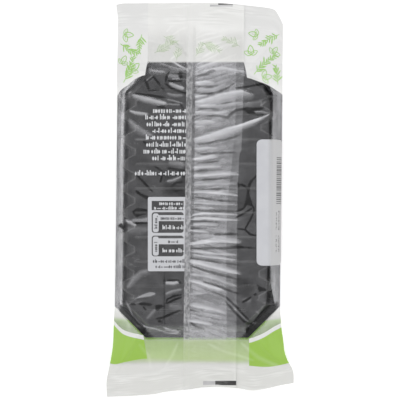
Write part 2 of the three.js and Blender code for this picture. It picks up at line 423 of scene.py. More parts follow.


# The folds that show over the tray and at its ends, from the top down: reach, painted light (a painted
# highlight over 0, painted shade under 0), line.
UPPER_PLEATS = from_rows(
    Fold,
    (1.6, 0.7, -2, 72, 10, 76, 22, 81), (1, 0.7, -2, 74, 8, 79, 18, 86),
    (1.2, 0.55, 0, 70, 12, 72.5, 24, 70, 30, 66.5), (0.9, -0.8, -1.5, 67.5, 4, 69, 8, 70.6),
    (1.9, 1.15, -2.5, 64, 3, 64.5, 8, 64), (0.8, -0.7, -2, 62, 5, 62, 10, 62.6),
    (1.5, 0.6, -2, 60, 7, 60.5, 14, 63.5),
    (0.8, -0.9, -0.7, 57.6, 5, 58.2, 9.8, 59, 14.8, 61.2, 20.3, 65.2),
    (0.9, -1, 19, 61.2, 24.8, 61.8, 30, 62.8, 33.8, 63.5, 37.5, 62.6), (1.3, 0.9, -3, 56.3, 1, 57, 4, 57.3),
    (3.3, 1.2, -3, 53, 5, 55, 12, 57.2, 22, 59.2, 30, 57), (0.7, -0.55, 8, 51.8, 13, 52.6, 18, 53.6),
    (1.4, 0.85, -3, 51.7, 6, 51.6, 14, 52.2, 24, 53.6), (0.8, -0.55, -1, 49.8, 6, 50, 11, 49.4),
    (1.6, 0.7, -3, 48, 5, 47.8, 12, 47.6, 16, 48.5),
    (1, -1.1, 3, 46, 9.8, 46.3, 14.8, 45.3, 16.3, 46.8, 19.3, 49.2, 24.3, 50, 35, 50.3),
    (2.2, 0.3, 20, 51.8, 27, 52.8, 34, 54), (0.8, 0.6, 28.5, 48.3, 34, 48.3, 38.6, 46.9),
    (1.6, 0.9, -3.5, 42.4, 3, 43.3, 9, 42.3), (0.8, -0.55, 2, 37, 8, 38.3, 14, 39.8),
    (1, 0.55, -2.5, 40, 3, 40.2), (2.5, 1.4, -4, 32.8, 5, 35.2, 12, 37.4, 20, 39.9, 27, 42.2, 34, 45),
    (1.1, 0.9, 20, 40.2, 29, 43.2, 34, 44.9, 39.8, 48), (0.9, 0.6, 24, 42.3, 31, 44.2, 38.8, 47.1),
    (0.8, -0.9, -2, 30.3, 5, 31.4, 12, 32.8, 17, 34, 22, 35.5), (1.3, 0.9, -3.5, 28, 4, 28.6, 10, 28.5),
    (0.9, -1, -2, 26.2, 1.5, 25.2, 6, 25.8, 14, 26, 20, 26),
)
LOWER_PLEATS = from_rows(
    Fold,
    (1.6, 1.15, -4, 21.8, 3, 22.6, 10, 23.5), (0.8, -0.75, -2, 19.9, 5, 20.3, 11, 21.1),
    (1.4, 0.9, -4, 17.4, 4, 17.8, 12, 18), (0.7, -0.6, -3, 15.6, 6, 16, 13, 16.4),
    (1.5, 1.15, -4, 12.9, 4, 13.2, 12, 14, 22, 13.6), (0.8, -0.7, -1, 10.7, 6, 11, 13, 11.4, 18, 12),
    (1.7, 0.55, -4, 8.4, 5, 8.3, 12, 8.6, 21, 8.6), (0.8, -0.9, -6, 5.9, 5, 5.7, 12, 5.8, 20, 5.3),
    (1.1, 1.25, -5, 4.3, 5, 3.8, 12, 3.3, 22, 2), (0.8, -1, -3, 1.6, 4, 0.2, 9, -0.5, 21, -1.1),
    (0.9, 0.7, -5, -1.5, 5, -2.2, 12, -2.5, 21, -2.8), (0.7, 0.55, -5.5, -4.3, 0, -5, 7, -4.6),
    (1.2, -0.9, -5, -5, 3, -6.3, 9, -6.6, 21, -6.6),
    (0.9, 1.3, -6.5, -9.8, -3, -8.2, 1, -7.6, 9, -7.6, 21, -8.4),
    (0.9, 1.3, -6, -10.8, 3, -10.2, 10, -10.7, 22, -11.3), (0.8, -0.75, -5.5, -12.3, 3, -11.8, 12, -12.2),
    (0.9, 0.85, -5.5, -13.9, 2, -13.5, 10, -14.1), (0.8, -0.75, -6, -15.7, 4, -15.8),
    (0.9, 1.2, -6.5, -16.6, 0, -17.3, 5, -17.7), (1, -1.3, 7.5, -19.2, 11, -19, 15, -18.9, 21, -18.7),
    (0.8, -0.6, -5.5, -23, 2, -21.7, 8, -20), (2, 1.5, -7, -24.4, 0, -23.5, 6, -22.7, 12, -22.5, 23, -23.3),
    (1, -1, -6, -26.7, 5, -26.6, 14, -26.6, 22, -26, 32, -26.6), (1.4, -0.8, 16, -26.4, 20, -26, 24, -26.1),
    (0.9, 0.9, -6, -27.8, 4, -29, 9, -29.6, 21, -30.2), (0.7, 1.15, -5, -29.8, 5, -31.3, 9, -31.7, 21, -33),
    (0.8, -0.9, -6, -31.8, 3, -33.2, 9, -34, 22, -35.8),
    (2, 1.5, -7, -33.4, 0, -35, 6, -36.5, 13, -38.3, 23, -40.8),
    (1, -1.15, -5.5, -36, -1, -37.5, 5, -39.5, 12, -41.3, 22, -43.8),
    (1.3, 0.7, -6, -40.5, 2, -41.5, 8, -43, 14, -45.3, 22, -47.6),
    (1.4, 1.2, -6.5, -44, 0, -45.5, 5, -47.5, 13, -49.3),
    (0.9, -1.1, 1.5, -44.6, 8, -46.5, 14, -49, 22, -51.6), (1.1, 0.6, -6, -51.4, 4, -50.8),
    (1.9, 0.85, -6, -57.3, 3, -59, 8, -60, 14.5, -62.2), (1.4, 0.95, -7, -65.8, 0, -66.8, 7, -68),
    (0.9, -1, -5.4, -66.8, -2, -69.4, 3, -70.4), (0.9, -0.6, -6, -60, 0, -61.2),
)
RIGHT_FOLDS = from_rows(
    Fold,
    (0.7, -1.4, 28.6, -3.2, 29.3, -4.6, 29.3, -6.7, 27.1, -11.3, 24.6, -15.6, 24, -16.6),
    (0.8, -1.4, 19.3, -9.6, 20.3, -9.2, 23.5, -7.6, 26.5, -5.7, 28.6, -4.3),
    (0.8, -1.4, 19.4, -6.4, 23.3, -4.8, 25, -3.4),
    (0.7, -1.4, 19.6, -15.6, 24.6, -16.1, 27.1, -18.6, 31.4, -19.9),
    (0.7, -1.4, 20.4, 9.4, 20.9, 8.7, 21, 6), (0.7, -1.3, 20.8, 8.3, 22.8, 8.4, 24.6, 7.6, 25.6, 5.6),
    (0.8, -1.3, 22.8, -55.9, 25.3, -54.6, 28, -52.7), (1, -1.2, 37.4, -34, 37.3, -45, 37.2, -54, 36, -60),
    (1, -1.2, 37.2, 63, 39, 55.9, 39, 46.8, 38.2, 43.1, 38.4, 32),
    (2.2, 0.12, 40.4, -36, 40.6, -47, 43, -57), (1.8, -0.3, -42.6, 66, -42.8, 57, -43, 48),
    (1, -0.8, 38.2, -46, 39, -52, 41, -59), (0.6, 0.5, 30.6, -64.4, 34.4, -60.6, 36.6, -56.4, 38, -53),
    (0.8, -1, 6, -49.8, 10.6, -51.3, 14.3, -53, 19.8, -58.1, 24, -62.8, 27.5, -66.5),
    (0.8, -1, 13.3, -54.6, 19.8, -62, 24.1, -66.3, 29, -68.1, 36, -68.4),
    (0.8, 0.3, 18, -58.4, 23.4, -63.6, 27.6, -67.4), (2.6, 0.2, 20.5, -52, 23, -53.5, 28, -55),
    (0.6, 0.55, 30.3, -60.2, 33.2, -62.8, 30, -66.1), (0.5, 0.45, 32.6, 51.2, 36.2, 53.8),
)
LEFT_FOLDS = from_rows(
    Fold,
    (0.7, -1.2, -30.4, 65.8, -29.9, 65.2, -27.5, 59.7, -23.6, 59.9),
    (0.6, -1, -29.2, 64.2, -25.5, 67.2, -22, 63.1), (1.2, 0.3, -45, 58.6, -42.3, 54.1, -40.7, 51.6),
    (1.2, 0.35, -40.5, 49, -40.3, 53, -38.3, 59.6, -35.8, 66),
    (0.8, -1.4, -34.9, 14.2, -30.3, 9.5, -25.5, 4.3),
    (0.8, -1.4, -9, 9.9, -13.1, 9.6, -15.3, 7.9, -15.2, 6.4, -13.1, 5.2, -9.2, 5.8),
    (1.6, -1.2, -43.4, -14.1, -42.2, -14.4, -41, -14.6), (0.7, -1.2, -37.9, -56.4, -35.1, -56.8),
    (0.7, -1.2, -31.1, -57.8, -29.1, -59.9), (0.7, -1.2, -18.7, -56.6, -18, -54, -14.2, -52.1, -9.6, -51.5),
    (0.8, -1.3, -18.4, -56.4, -14.2, -54.2, -9.8, -52.8),
    (0.9, -1.2, -24.6, -64.8, -19.7, -63.6, -15.4, -61.7, -10.4, -59.8),
    (0.6, -0.5, -22.8, -67, -21.5, -64.5, -20, -64, -20.9, -67.6), (0.6, -0.5, -19.4, -39, -19.2, -69.8),
    (0.6, 0.5, -41.6, -53, -38.3, -59, -36.8, -62.6, -32.5, -67.5, -28.6, -69),
    (0.8, 0.5, -36.4, -68.2, -30.1, -68.9, -24, -70, -17.8, -72.4, -10.4, -73.1),
    (1.6, 0.5, -20.3, -68.9, -16.6, -70.6, -10.6, -72),
    (2.6, 0.4, -40, -48.2, -36.2, -42.5, -32.5, -39.4, -27.6, -38.1),
    (0.9, 0.55, -6.4, 70.4, -12.8, 74.2, -17, 76.6), (0.8, 0.6, -6.4, 71.2, -11, 73.3, -14.6, 75.8),
    (1, 0.4, -8.5, 70.8, -16.5, 72.9, -22.5, 75.2), (1.2, 0.55, -29.4, 71.2, -24, 70.5, -18.8, 69.8),
    (0.9, -1.1, -16.8, 70, -18.3, 67.8, -18.9, 64.2), (1.7, 0.5, -18, 67.8, -10.4, 67.4),
    (0.9, 0.45, -15.6, 66, -10.4, 66.2), (1.5, -1.2, -10.6, 70, -10, 66), (0.8, -0.8, -18, 65, -9.4, 64.8),
    (1.8, 0.9, -17, 63.9, -13.8, 62.5, -8.4, 60.8),
    (0.9, -1.05, -19.2, 63.8, -15.6, 61, -12, 59.6, -6.6, 58), (1.4, 0.5, -18.2, 58.4, -14.7, 57.3, -9, 57),
    (0.9, -0.75, -30.1, 65.6, -28.4, 62.8, -27.3, 59.4), (0.9, -0.6, -25.5, 68.4, -23.4, 65, -21.2, 62.2),
    (0.8, -0.7, -27.8, 60, -21.8, 60.2), (1.7, 0.3, -30, 64.3, -24.8, 68.1),
    (2.4, 0.95, -37.4, 57.5, -30.3, 55.5, -24.8, 54.1, -17.5, 52.3),
    (0.9, -0.95, -36.4, 58.2, -30.7, 57.6, -24.8, 56.9, -18.6, 55.7),
    (0.8, 0.55, -18.2, 55, -13.8, 54.1, -8.8, 52.4), (0.8, 0.5, -18, 52.4, -10, 52),
    (0.9, -0.95, -23.2, 51.1, -18.6, 50.8), (0.8, -0.8, -10.8, 52.8, -8.4, 49),
    (1.4, 1, -38.6, 48.9, -35.3, 47.7, -28, 46.8),
    (3, 0.45, -39, 44.4, -34.8, 40, -29.8, 36.7, -25.4, 34.9), (1.2, 0.2, -36, 33.2, -28, 33),
    (0.9, -0.75, -30.8, 32.3, -28.6, 30), (2.8, 0.35, -17.4, 20.8, -12, 20.4, -7.9, 18.6),
    (0.8, -0.75, -24.8, 18.6, -20.2, 15.6), (0.9, -0.75, -18.2, 17.6, -7, 15.9),
    (1.7, 1, -18.6, 10.3, -14.7, 11, -9.8, 12.9), (0.9, -0.95, -20.8, 13.4, -21.8, 9.4),
    (1.4, 0.95, -41.2, -10.7, -37, -12.5, -34.6, -13.8), (0.8, -1.05, -36.6, -12.4, -28, -12.4),
    (3.3, 0.25, -40, -15.5, -28, -15.8), (1.5, 1, -19.6, -44.8, -14.5, -45, -10.6, -44.2),
    (1, -0.7, -19.3, -43, -19, -45.8), (0.8, -0.9, -18.6, -43.6, -11.8, -43.4),
    (0.9, -0.95, -12.2, -43.4, -10.2, -45.4), (1.4, 0.45, -19.4, -51.2, -14.9, -49.5, -9.6, -48.4),
    (0.9, -1, -23, -65.7, -20.8, -66.1), (1.5, 0.3, -24.2, -59.2, -29.2, -64.6),
    (3, 0.25, -17, -57, -9.6, -58.8), (2, -1, -43.6, -12.8, -42.6, -14.8),
)
END_FOLDS = from_rows(
    Fold,
    (1.6, 0.9, 1, 77.5, 9, 82.5, 23, 88.5), (1, 0.8, -3.5, 88, 3, 90.8, 9.5, 91.6),
    (1, 0.8, -2, 86.2, 6, 88.6, 13.5, 90.4), (0.9, 0.7, -2.5, 83.2, 5, 85, 12, 86.2),
    (1.1, 0.8, -18.7, 92, -15.8, 95.4, -11, 98), (1.1, 0.7, -15.5, 90, -11, 93.4, -7.5, 94.6),
    (1, 0.7, -16.5, 76.5, -12, 80, -7.5, 81.8), (1.4, -0.9, -6.5, 78, -12, 85, -20, 88),
    (1.6, 0.35, -30, 88, -18, 85, -8, 86), (1.6, 0.25, -16, 76, -12, 84, -12, 92),
    (1.8, 0.3, 30, 82, 36, 88, 42, 91), (1.6, 0.3, -34, -78, -28, -86, -27, -94),
    (1.6, 0.3, -12, -78, -15, -86, -20, -95), (2, 0.35, 4, -79, 14, -85, 30, -90),
    (2.2, 0.35, 22, -78, 32, -88, 45, -97), (1.2, 0.25, -22, -95, -6, -92, 10, -93),
)

# Painted shade where the film lies close on the tray, and painted sheen where it stands off it: painted
# light, width of the outline's edge, outline.
PATCHES = from_rows(
    Patch,
    (-1.2, 0.7, 31.1, 13.9, 27.3, 10.4, 25.9, 7.6, 25.5, 4, 24.9, -0.9, 23.3, -4.6, 25.9, -2.6, 28.4, -3.5,
     29.3, -4.3, 27.6, 0.3, 26.8, 4, 27.4, 7.9, 28.7, 10.4, 31.1, 13.1),
    (-0.3, 0.7, 20.4, 7, 22.6, 8.4, 24.2, 7.9, 25.4, 5.2, 25.2, -1.5, 23.5, -4.3, 20.4, -5.8),
    (-1.3, 0.7, 30.9, -45.9, 32.3, -47.2, 36.4, -48.6, 36.1, -49.3, 32.1, -50, 31.7, -48),
    (-1.3, 0.7, 29.1, -51.5, 30.2, -50.7, 31.2, -51.4, 30.1, -52.1),
    (-1.2, 0.7, 29, -66.3, 34.5, -59, 37.2, -53.5, 37.8, -48, 38.7, -48.6, 40, -54.7, 41.5, -60.8, 38.1,
     -64.5, 34.5, -67.2),
    (-0.45, 5, 20.1, -50.4, 22.9, -52.9, 26.5, -51, 28.6, -47.6, 25.3, -42.5, 20.1, -40.6),
    (-0.8, 2.5, 25.3, -70, 29, -68.4, 34.5, -68.1, 31.4, -71.8, 28.4, -74.2, 25.6, -72.4),
    (-0.9, 1.6, 34.5, 61.4, 37.8, 62.5, 39.2, 56.5, 38, 54.7, 36, 57),
    (-1.2, 0.7, 23.8, 49.2, 26.5, 48.9, 32, 50.4, 34.8, 50.4, 34.5, 49.5, 29, 48.5, 30.5, 46.9, 35.1, 46.4,
     31.4, 46, 26.5, 46.9),
    (-1, 1, 3, 68.8, 4.5, 70.3, 7, 71.2, 8.5, 70.3, 6.1, 69.4),
    (-1.3, 1, -36.7, -6.3, -34.5, -4.6, -31.8, -4.6, -28.5, -5.3, -28.5, -7.5, -32.1, -8.2, -34.4, -9.2,
     -36.2, -7.5),
    (-1.3, 0.9, -35.1, 5.5, -31.8, 3.4, -28.5, 2, -28.5, 0.2, -32.1, 2.1, -34.5, 3.7),
    (0.5, 1.2, -37.9, -11.3, -36.2, -10.2, -32.1, -10.2, -28.5, -9.5, -28.5, -11.9, -33.9, -12.2),
    (-0.4, 4, -20.5, 15, -7, 15, -7, 0, -13, 3.5, -20, 3.5),
    (-1.3, 0.7, -33.7, -56.5, -30.7, -55.8, -25.9, -56.8, -27, -57.5, -30.1, -57.4, -32.8, -57.1),
    (-1.3, 0.7, -24.3, -57.4, -21.5, -57, -19.6, -57.8, -21.5, -58.7, -22.9, -60.2, -24, -59.7),
    (0.6, 0.9, -35.6, -53.9, -33, -52.2, -30, -50.9, -27, -50.1, -24.7, -50.5, -24.2, -51.4, -27, -52.4,
     -31, -53),
    (0.8, 5, -4.4, 97.4, 4, 97, 10, 94.5, 20, 96.5, 22, 95, 12, 91.5, 0, 92.5),
    (-0.3, 7, -24, 97, -9, 95, -8, 77, -27, 77), (-0.7, 6, 14, 90, 24, 92, 24, 77, 10, 77),
    (-1.2, 0.7, -20.9, 61.4, -19.7, 60.7, -19.2, 59.5, -20.2, 59.6),
    (-1, 0.7, -23, 50.5, -20.9, 51.5, -18.9, 51.6, -19.7, 50.3),
)


@dataclass
class Wrinkles:
    """The film's pleats, folds and creases, as heights over the wrap's plain form and as painted highlights
    and shade on the film.

    The methods' x and y are places across and along.
    """

    shape: PackShape
    seam: Seam
    pleat_pitch: float = 3.1
    pleat_height: float = 0.2
    fan: float = 0.26
    fan_reach: float = 28
    # The side walls' painted light and shade by how far up the wall, and the painted shade along the top's
    # edge.
    left_wall: Pairs = ((0, -0.25), (0.3, -0.22), (0.6, -0.04), (0.78, 0.04), (0.9, -0.04), (1, 0))
    right_wall: Pairs = ((0, -0.2), (0.3, -0.16), (0.6, -0.14), (0.85, -0.22), (1, 0))
    painted_edge_shade: float = 0.4
    folds: Sequence[tuple[float, float, Sequence[Fold]]] = (
        (0.55, 0.25, UPPER_PLEATS), (-0.55, 0.25, LOWER_PLEATS), (0, 0, RIGHT_FOLDS), (0.3, 0, LEFT_FOLDS),
        (0, 0, END_FOLDS),
    )

    def __post_init__(self) -> None:
        """Makes the seeded noises."""
        names = ("pleat", "fine", "sweep", "crumple", "facet", "wall", "end", "crimp", "patch", "drift")
        self.noise = {name: Noise(11 + i) for i, name in enumerate(names)}

    def fanned(self, x: Array, y: Array) -> tuple[Array, Array]:
        """The distance from the seam, and the place along the seam that a pleat's line comes from."""
        from_seam = np.maximum(x - self.seam.root(y)[1], 0)
        return from_seam, y - self.fan * np.tanh(y / self.fan_reach) * from_seam

    def pleats(self, x: Array, y: Array) -> Array:
        """The pleats that the heated seam draws into the film on its right, from 0 to about 1."""
        from_seam, line = self.fanned(x, y)
        drift = 2.2 * self.noise["drift"].at(line / 11, from_seam / 26)
        wave = 0.5 + 0.5 * np.cos(math.tau * (line + drift) / self.pleat_pitch)
        fine = self.noise["fine"].ridges((line + drift) / 1.5, from_seam / 11)
        broad = self.noise["pleat"].at((line + drift) / 7.5, from_seam / 30)
        strength = np.clip(0.6 + 0.9 * self.noise["patch"].at(line / 5, from_seam / 24), 0.1, 1.3)
        rise = smoothstep(from_seam, 0, 2) * (1 - smoothstep(from_seam, 15, 31))
        return rise * (strength * wave**1.3 + 0.5 * np.clip(broad, 0, 1) + 0.08 * fine)

    def crumple(self, x: Array, y: Array) -> Array:
        """Small folds in every direction, in drifts."""
        bend = 1.6 * self.noise["drift"].at(x / 13, y / 13)
        facets = self.noise["facet"].ridges((x + bend) / 8.5, (y - bend) / 5)
        small = self.noise["crumple"].ridges((x - bend) / 3.8, (y + bend) / 2.6)
        drift = smoothstep(self.noise["patch"].at(x / 15 + 7, y / 11 + 3), -0.25, 0.5)
        return drift * (0.2 * facets + 0.05 * small)

    def walls(self, x: Array, y: Array) -> Array:
        """Long upright streaks on the side walls."""
        across = self.shape.across(x, y)
        return 0.12 * self.noise["wall"].at(across / 4.5, y / 40)

    def ends(self, x: Array, y: Array) -> Array:
        """Soft folds that run from the tray down to a crimped end."""
        away = np.abs(y) - self.shape.base_half_length
        spread = x / (1 + 0.009 * away)
        folds = self.noise["end"].at(spread / 7.5 + 20 * np.sign(y), away / 30)
        fine = self.noise["end"].ridges(spread / 3.6 + 40 * np.sign(y), away / 14)
        return 0.75 * folds + 0.08 * fine

    def crimp(self, x: Array, y: Array) -> Array:
        """The fine ribs that the sealing jaws leave, in step on both films."""
        sealed = smoothstep(np.abs(y), self.shape.seal_start - 1, self.shape.seal_start + 0.5)
        drift = 0.5 * self.noise["crimp"].at(x / 16, y / 3)
        ribs = np.sin(math.tau * (np.abs(y) / 1.5 + drift))
        strength = 0.55 + 0.45 * self.noise["crimp"].at(x / 9 + 5, y / 2.2)
        return sealed * (0.022 * ribs * strength + 0.12 * self.noise["crimp"].at(x / 23, y / 7))

    def fields(self, x: Array, y: Array) -> tuple[Array, Array]:
        """The film's folds before the crimped ends.

        Returns:
            Their height in millimetres, and their painted light: -1 for painted shade where the film touches
            the tray, 0 on flat film, and a little over 1 for the painted highlight on the strongest fold.
        """
        end = self.shape.end_share(y)
        raised = self.shape.raised(x, y)
        wall = (1 - smoothstep(raised, 0.75, 1)) * smoothstep(raised, 0, 0.12) * (1 - end)
        on_ramp = smoothstep(end, 0, 0.25) * (1 - smoothstep(end, 0.7, 1))
        top = smoothstep(raised, 0.7, 1) * (1 - smoothstep(end, 0.85, 1))
        pleats = self.pleats(x, y) * (1 - 0.75 * on_ramp)
        crumple = self.crumple(x, y) * (1 - 0.5 * on_ramp)
        height = self.pleat_height * pleats + crumple
        # Painted light: the pleats, crumples and gathers add painted highlights, and the folds and patches
        # add painted highlights and shade.
        painted_light = 0.2 * pleats + 0.18 * crumple + self.gathers(x, y)
        for lean, fade, group in self.folds:
            for fold in group:
                fold.add_to(x, y, height, painted_light, lean, fade)
        for patch in PATCHES:
            patch.add_to(x, y, painted_light)
        rough = 0.35 + 0.65 * smoothstep(y, -60, -30)
        painted_light *= 1 + 0.22 * rough * self.streaks(x, y)
        painted_light += 0.04 * rough * self.streaks(x, y + 300)
        height = top * height + wall * self.walls(x, y) + raised * on_ramp * self.ends(x, y)
        # The side walls' painted light and shade, and the crimped ends' painted streaks.
        painted_light = (top + wall) * painted_light + (1 - end) * self.wall_painted_light(x, y) + self.seal_streaks(x, y)
        return height, np.clip(painted_light, -1, 1.3)

    def streaks(self, x: Array, y: Array) -> Array:
        """Fine streaks along the pleats, which run into the folds' painted highlights and shade."""
        return self.noise["sweep"].at(self.fanned(x, y)[1] / 0.9, x / 16)

    def seal_streaks(self, x: Array, y: Array) -> Array:
        """The thin light and dark streaks along a crimped end, as painted highlights and shade of its crimp.
        """
        sealed = smoothstep(np.abs(y), self.shape.seal_start - 5, self.shape.seal_start + 1)
        drift = 0.7 * self.noise["crimp"].at(x / 20, y / 5)
        lines = self.noise["crimp"].ridges(x / 22 + np.sign(y) * 9, y / 1.1 + drift)
        patch = smoothstep(self.noise["crimp"].at(x / 13 + 31, y / 6 + 4), -0.4, 0.5)
        return sealed * patch * (1.3 * lines - 0.35)

    def gathers(self, x: Array, y: Array) -> Array:
        """The fine mottled gathers right of the seam's root, as painted highlights, with a painted dark band
        of shade just beside the root.
        """
        from_seam, line = self.fanned(x, y)
        fine = self.noise["fine"].at(line / 0.9, from_seam / 4.5 + 60)
        close = smoothstep(from_seam, 0, 0.6) * (1 - smoothstep(from_seam, 3, 9))
        spots = self.noise["crumple"].at(x / 0.9, y / 1.3)
        # Painted shade in a narrow band just right of the root.
        dark = band(from_seam, 0.5, 1.3, 0.6) * smoothstep(y, -75, 45)
        calm = 1 - 0.6 * smoothstep(-y, 30, 55)
        return 0.3 * calm * close * fine + dark * (0.7 * spots - 0.6)

    def wall_painted_light(self, x: Array, y: Array) -> Array:
        """Painted light and dark bands down each side wall, painted shade over the tray's slanted lower
        corners, and a painted shade line along the edge of the tray's top.
        """
        raised = self.shape.raised(x, y)
        streaks = self.noise["wall"].at(self.shape.across(x, y) / 5 + 9, y / 40)
        left, right = through(self.left_wall, raised), through(self.right_wall, raised)
        streaks = 0.2 * streaks * smoothstep(raised, 0, 0.1) * (raised < 0.99)
        on_wall = np.where(x < 0, left, right) + streaks
        # Painted shade over the tray's slanted lower corners.
        slanted = band(np.abs(x + 1.5) + np.abs(y), 99.5, 104, 1.2) * band(-y, 57, 76, 2)
        slanted = slanted * (1 - smoothstep(np.abs(x + 0.5), 42.5, 44.5))
        on_wall = on_wall * (1 - slanted) - 0.8 * slanted
        # Painted shade along the edge of the tray's top.
        return on_wall - self.painted_edge_shade * band(self.shape.top_edge(x, y) - np.abs(x), 0.2, 1.2, 1.2)


@dataclass(frozen=True)
class StickerPlace:
    """Where the sticker lies, in millimetres."""

    start: float = 30.8
    low: float = -35.8
    high: float = 33
    corner: float = 2.9
    foot: float = 1


@dataclass
class PackSurface:
    """The wrap's form with its wrinkles: what every printed mark and the sticker lie on.

    The methods' x and y are places across and along.
    """

    shape: PackShape
    seam: Seam
    wrinkles: Wrinkles
    sticker: StickerPlace

    def relief(self, x: Array, y: Array) -> tuple[Array, Array]:
        """The wrinkles' height and painted light. The paper sticker holds them almost flat."""
        place = self.sticker
        held = smoothstep(x, place.start - 1.5, place.start + 0.5) * band(y, place.low, place.high, 1.5)
        height, painted_light = self.wrinkles.fields(x, y)
        return height * (1 - 0.93 * held), painted_light

    def root_height(self, x: Array, y: Array) -> Array:
        """The seam's root, where both sides of the film rise and fold over."""
        low, high = self.seam.root(y)
        return 0.16 * band(x, low + 1, high - 1, 1.6)

    def back(self, x: Array, y: Array) -> Array:
        """The height of the back film at rows that aren't moved to the cut yet."""
        height = self.shape.back(x, y) + self.relief(x, y)[0] + self.wrinkles.crimp(x, y)
        root = self.root_height(x, y) * (1 - 0.8 * self.shape.end_share(y))
        return height + root * smoothstep(self.shape.raised(x, y), 0.5, 1)

    def front(self, x: Array, y: Array) -> Array:
        """The height of the front film at rows that aren't moved to the cut yet."""
        slack = 0.3 + 0.2 * self.wrinkles.noise["facet"].at(x / 9 + 50, y / 12)
        inside = smoothstep(self.shape.half_width(x, y) - np.abs(x), 1, 6)
        ramp = self.shape.end_share(y)
        folds = 0.35 * ramp * (1 - ramp) * 4 * self.wrinkles.noise["end"].at(x / 9, y / 12)
        flat = slack * inside * (1 - smoothstep(np.abs(y), 70, 80))
        return self.shape.front(x, y) + flat + np.abs(folds) * inside + self.wrinkles.crimp(x, y)

    @staticmethod
    def veil_and_painted_light(x: Array, y: Array) -> Array:
        """How whitish the film is past the tray's ends and beside its lower corners: partly the slack film's
        own haze, partly painted light where the tray shades the film beneath.
        """
        # The sharp step at the tray's ends is painted light over the shade that the tray casts on the front
        # film.
        upper = 0.66 * smoothstep(y, 74.9, 75.7) + 0.24 * smoothstep(y, 84, 96)
        lower = 0.35 * smoothstep(-y, 75.9, 76.5) + 0.25 * smoothstep(-y, 77, 89)
        lower = lower + 0.26 * smoothstep(-y, 88.5, 91.5)
        outside = smoothstep(np.abs(x + 1.5) + np.abs(y), 103.8, 104.2) * band(y, -77, -59, 3)
        corner = outside * (0.7 - 0.5 * smoothstep(-y, 63, 67))
        return upper + np.maximum(lower, corner)


# Meshes.


def link(name: str, data: Any) -> Piece:
    """A new object of the scene, for a mesh, a light or a camera."""
    made = bpy.data.objects.new(name, data)
    bpy.context.scene.collection.objects.link(made)
    return made


def make_mesh(name: str, points: Array, faces: Array, smooth: bool = True) -> Piece:
    """A mesh object at the origin.

    Args:
        name: the piece's name.
        points: corners in millimetres, one row each.
        faces: rows of corner numbers.
        smooth: whether it is shaded smooth.

    Returns:
        The new object, linked to the scene.
    """
    mesh = bpy.data.meshes.new(name)
    mesh.from_pydata((np.asarray(points) * MM).tolist(), [], np.asarray(faces).tolist())
    mesh.polygons.foreach_set("use_smooth", [smooth] * len(mesh.polygons))
    mesh.update()
    return link(name, mesh)


def grid_faces(rows: int, columns: int, flip: bool = False) -> Array:
    """The four-sided faces of a grid of points, row by row. Facing up unless flipped."""
    r, c = np.meshgrid(np.arange(rows - 1), np.arange(columns - 1), indexing="ij")
    first = (r * columns + c).ravel()
    faces = np.stack([first, first + 1, first + columns + 1, first + columns], axis=1)
    return faces[:, ::-1] if flip else faces


def grid_mesh(name: str, x: Array, y: Array, z: Array, flip: bool = False) -> Piece:
    """A mesh object from three grids of millimetres."""
    points = np.stack([x, y, z], axis=-1).reshape(-1, 3)
    return make_mesh(name, points, grid_faces(*x.shape, flip))


def closed_sheet(name: str, outer: tuple[Array, ...], inner: tuple[Array, ...]) -> Piece:
    """A closed thin shell between two grids of places.

    Args:
        name: the piece's name.
        outer: places across, along and up on the face that is up.
        inner: the same on the other face.

    Returns:
        The new object.
    """
    rows, columns = outer[0].shape
    count = rows * columns
    points = np.concatenate([np.stack(layer, axis=-1).reshape(-1, 3) for layer in (outer, inner)])
    ring = np.concatenate([
        np.arange(columns),
        columns - 1 + columns * np.arange(1, rows),
        count - 2 - np.arange(columns - 1),
        columns * np.arange(rows - 2, 0, -1),
    ])
    after = np.roll(ring, -1)
    rim = np.stack([ring, ring + count, after + count, after], axis=1)
    faces = [grid_faces(rows, columns), grid_faces(rows, columns, flip=True) + count, rim]
    return make_mesh(name, points, np.concatenate(faces))


def set_field(piece: Piece, name: str, values: Array) -> None:
    """Keeps a number for each corner of a mesh, for its material to read."""
    attribute = piece.data.attributes.new(name, "FLOAT", "POINT")
    attribute.data.foreach_set("value", np.asarray(values, np.float32).ravel())


def set_uv(piece: Piece, u: Array, v: Array) -> None:
    """Gives a mesh a UV map in millimetres on the flat material.

    Args:
        piece: the mesh.
        u: how far across each corner lies.
        v: how far along each corner lies.
    """
    flat = np.stack([np.ravel(u), np.ravel(v)], axis=1).astype(np.float32)
    corners = np.zeros(len(piece.data.loops), np.int32)
    piece.data.loops.foreach_get("vertex_index", corners)
    piece.data.uv_layers.new(name="flat").data.foreach_set("uv", flat[corners].ravel())


def corners_of(mesh: bpy.types.Mesh) -> Array:
    """A mesh's corners as rows of three numbers, in millimetres."""
    co = np.zeros(len(mesh.vertices) * 3, np.float32)
    mesh.vertices.foreach_get("co", co)
    return co.reshape(-1, 3).astype(float) / MM


def place_corners(mesh: bpy.types.Mesh, points: Array) -> None:
    """Moves a mesh's corners to rows of three numbers, in millimetres."""
    mesh.vertices.foreach_set("co", (points * MM).astype(np.float32).ravel())
    mesh.update()


def finish_piece(
    piece: Piece, slot: Slot, material: Material | None = None, replaces: Iterable[str] = ()
) -> Piece:
    """Gives a piece its material, puts it under the body's empty, hides the CAD nodes that it replaces, and
    logs it.

    Args:
        piece: the piece.
        slot: its material slot; not used.
        material: what it is made of, or None where it has its material.
        replaces: the CAD nodes that it stands for.

    Returns:
        The same piece.
    """
    if material is not None:
        piece.data.materials.clear()
        piece.data.materials.append(material)
    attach(piece, BODY)
    for node in replaces:
        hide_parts(node)
    LOG.info("%s: %d faces", piece.name, len(piece.data.polygons))
    return piece


# Node trees.


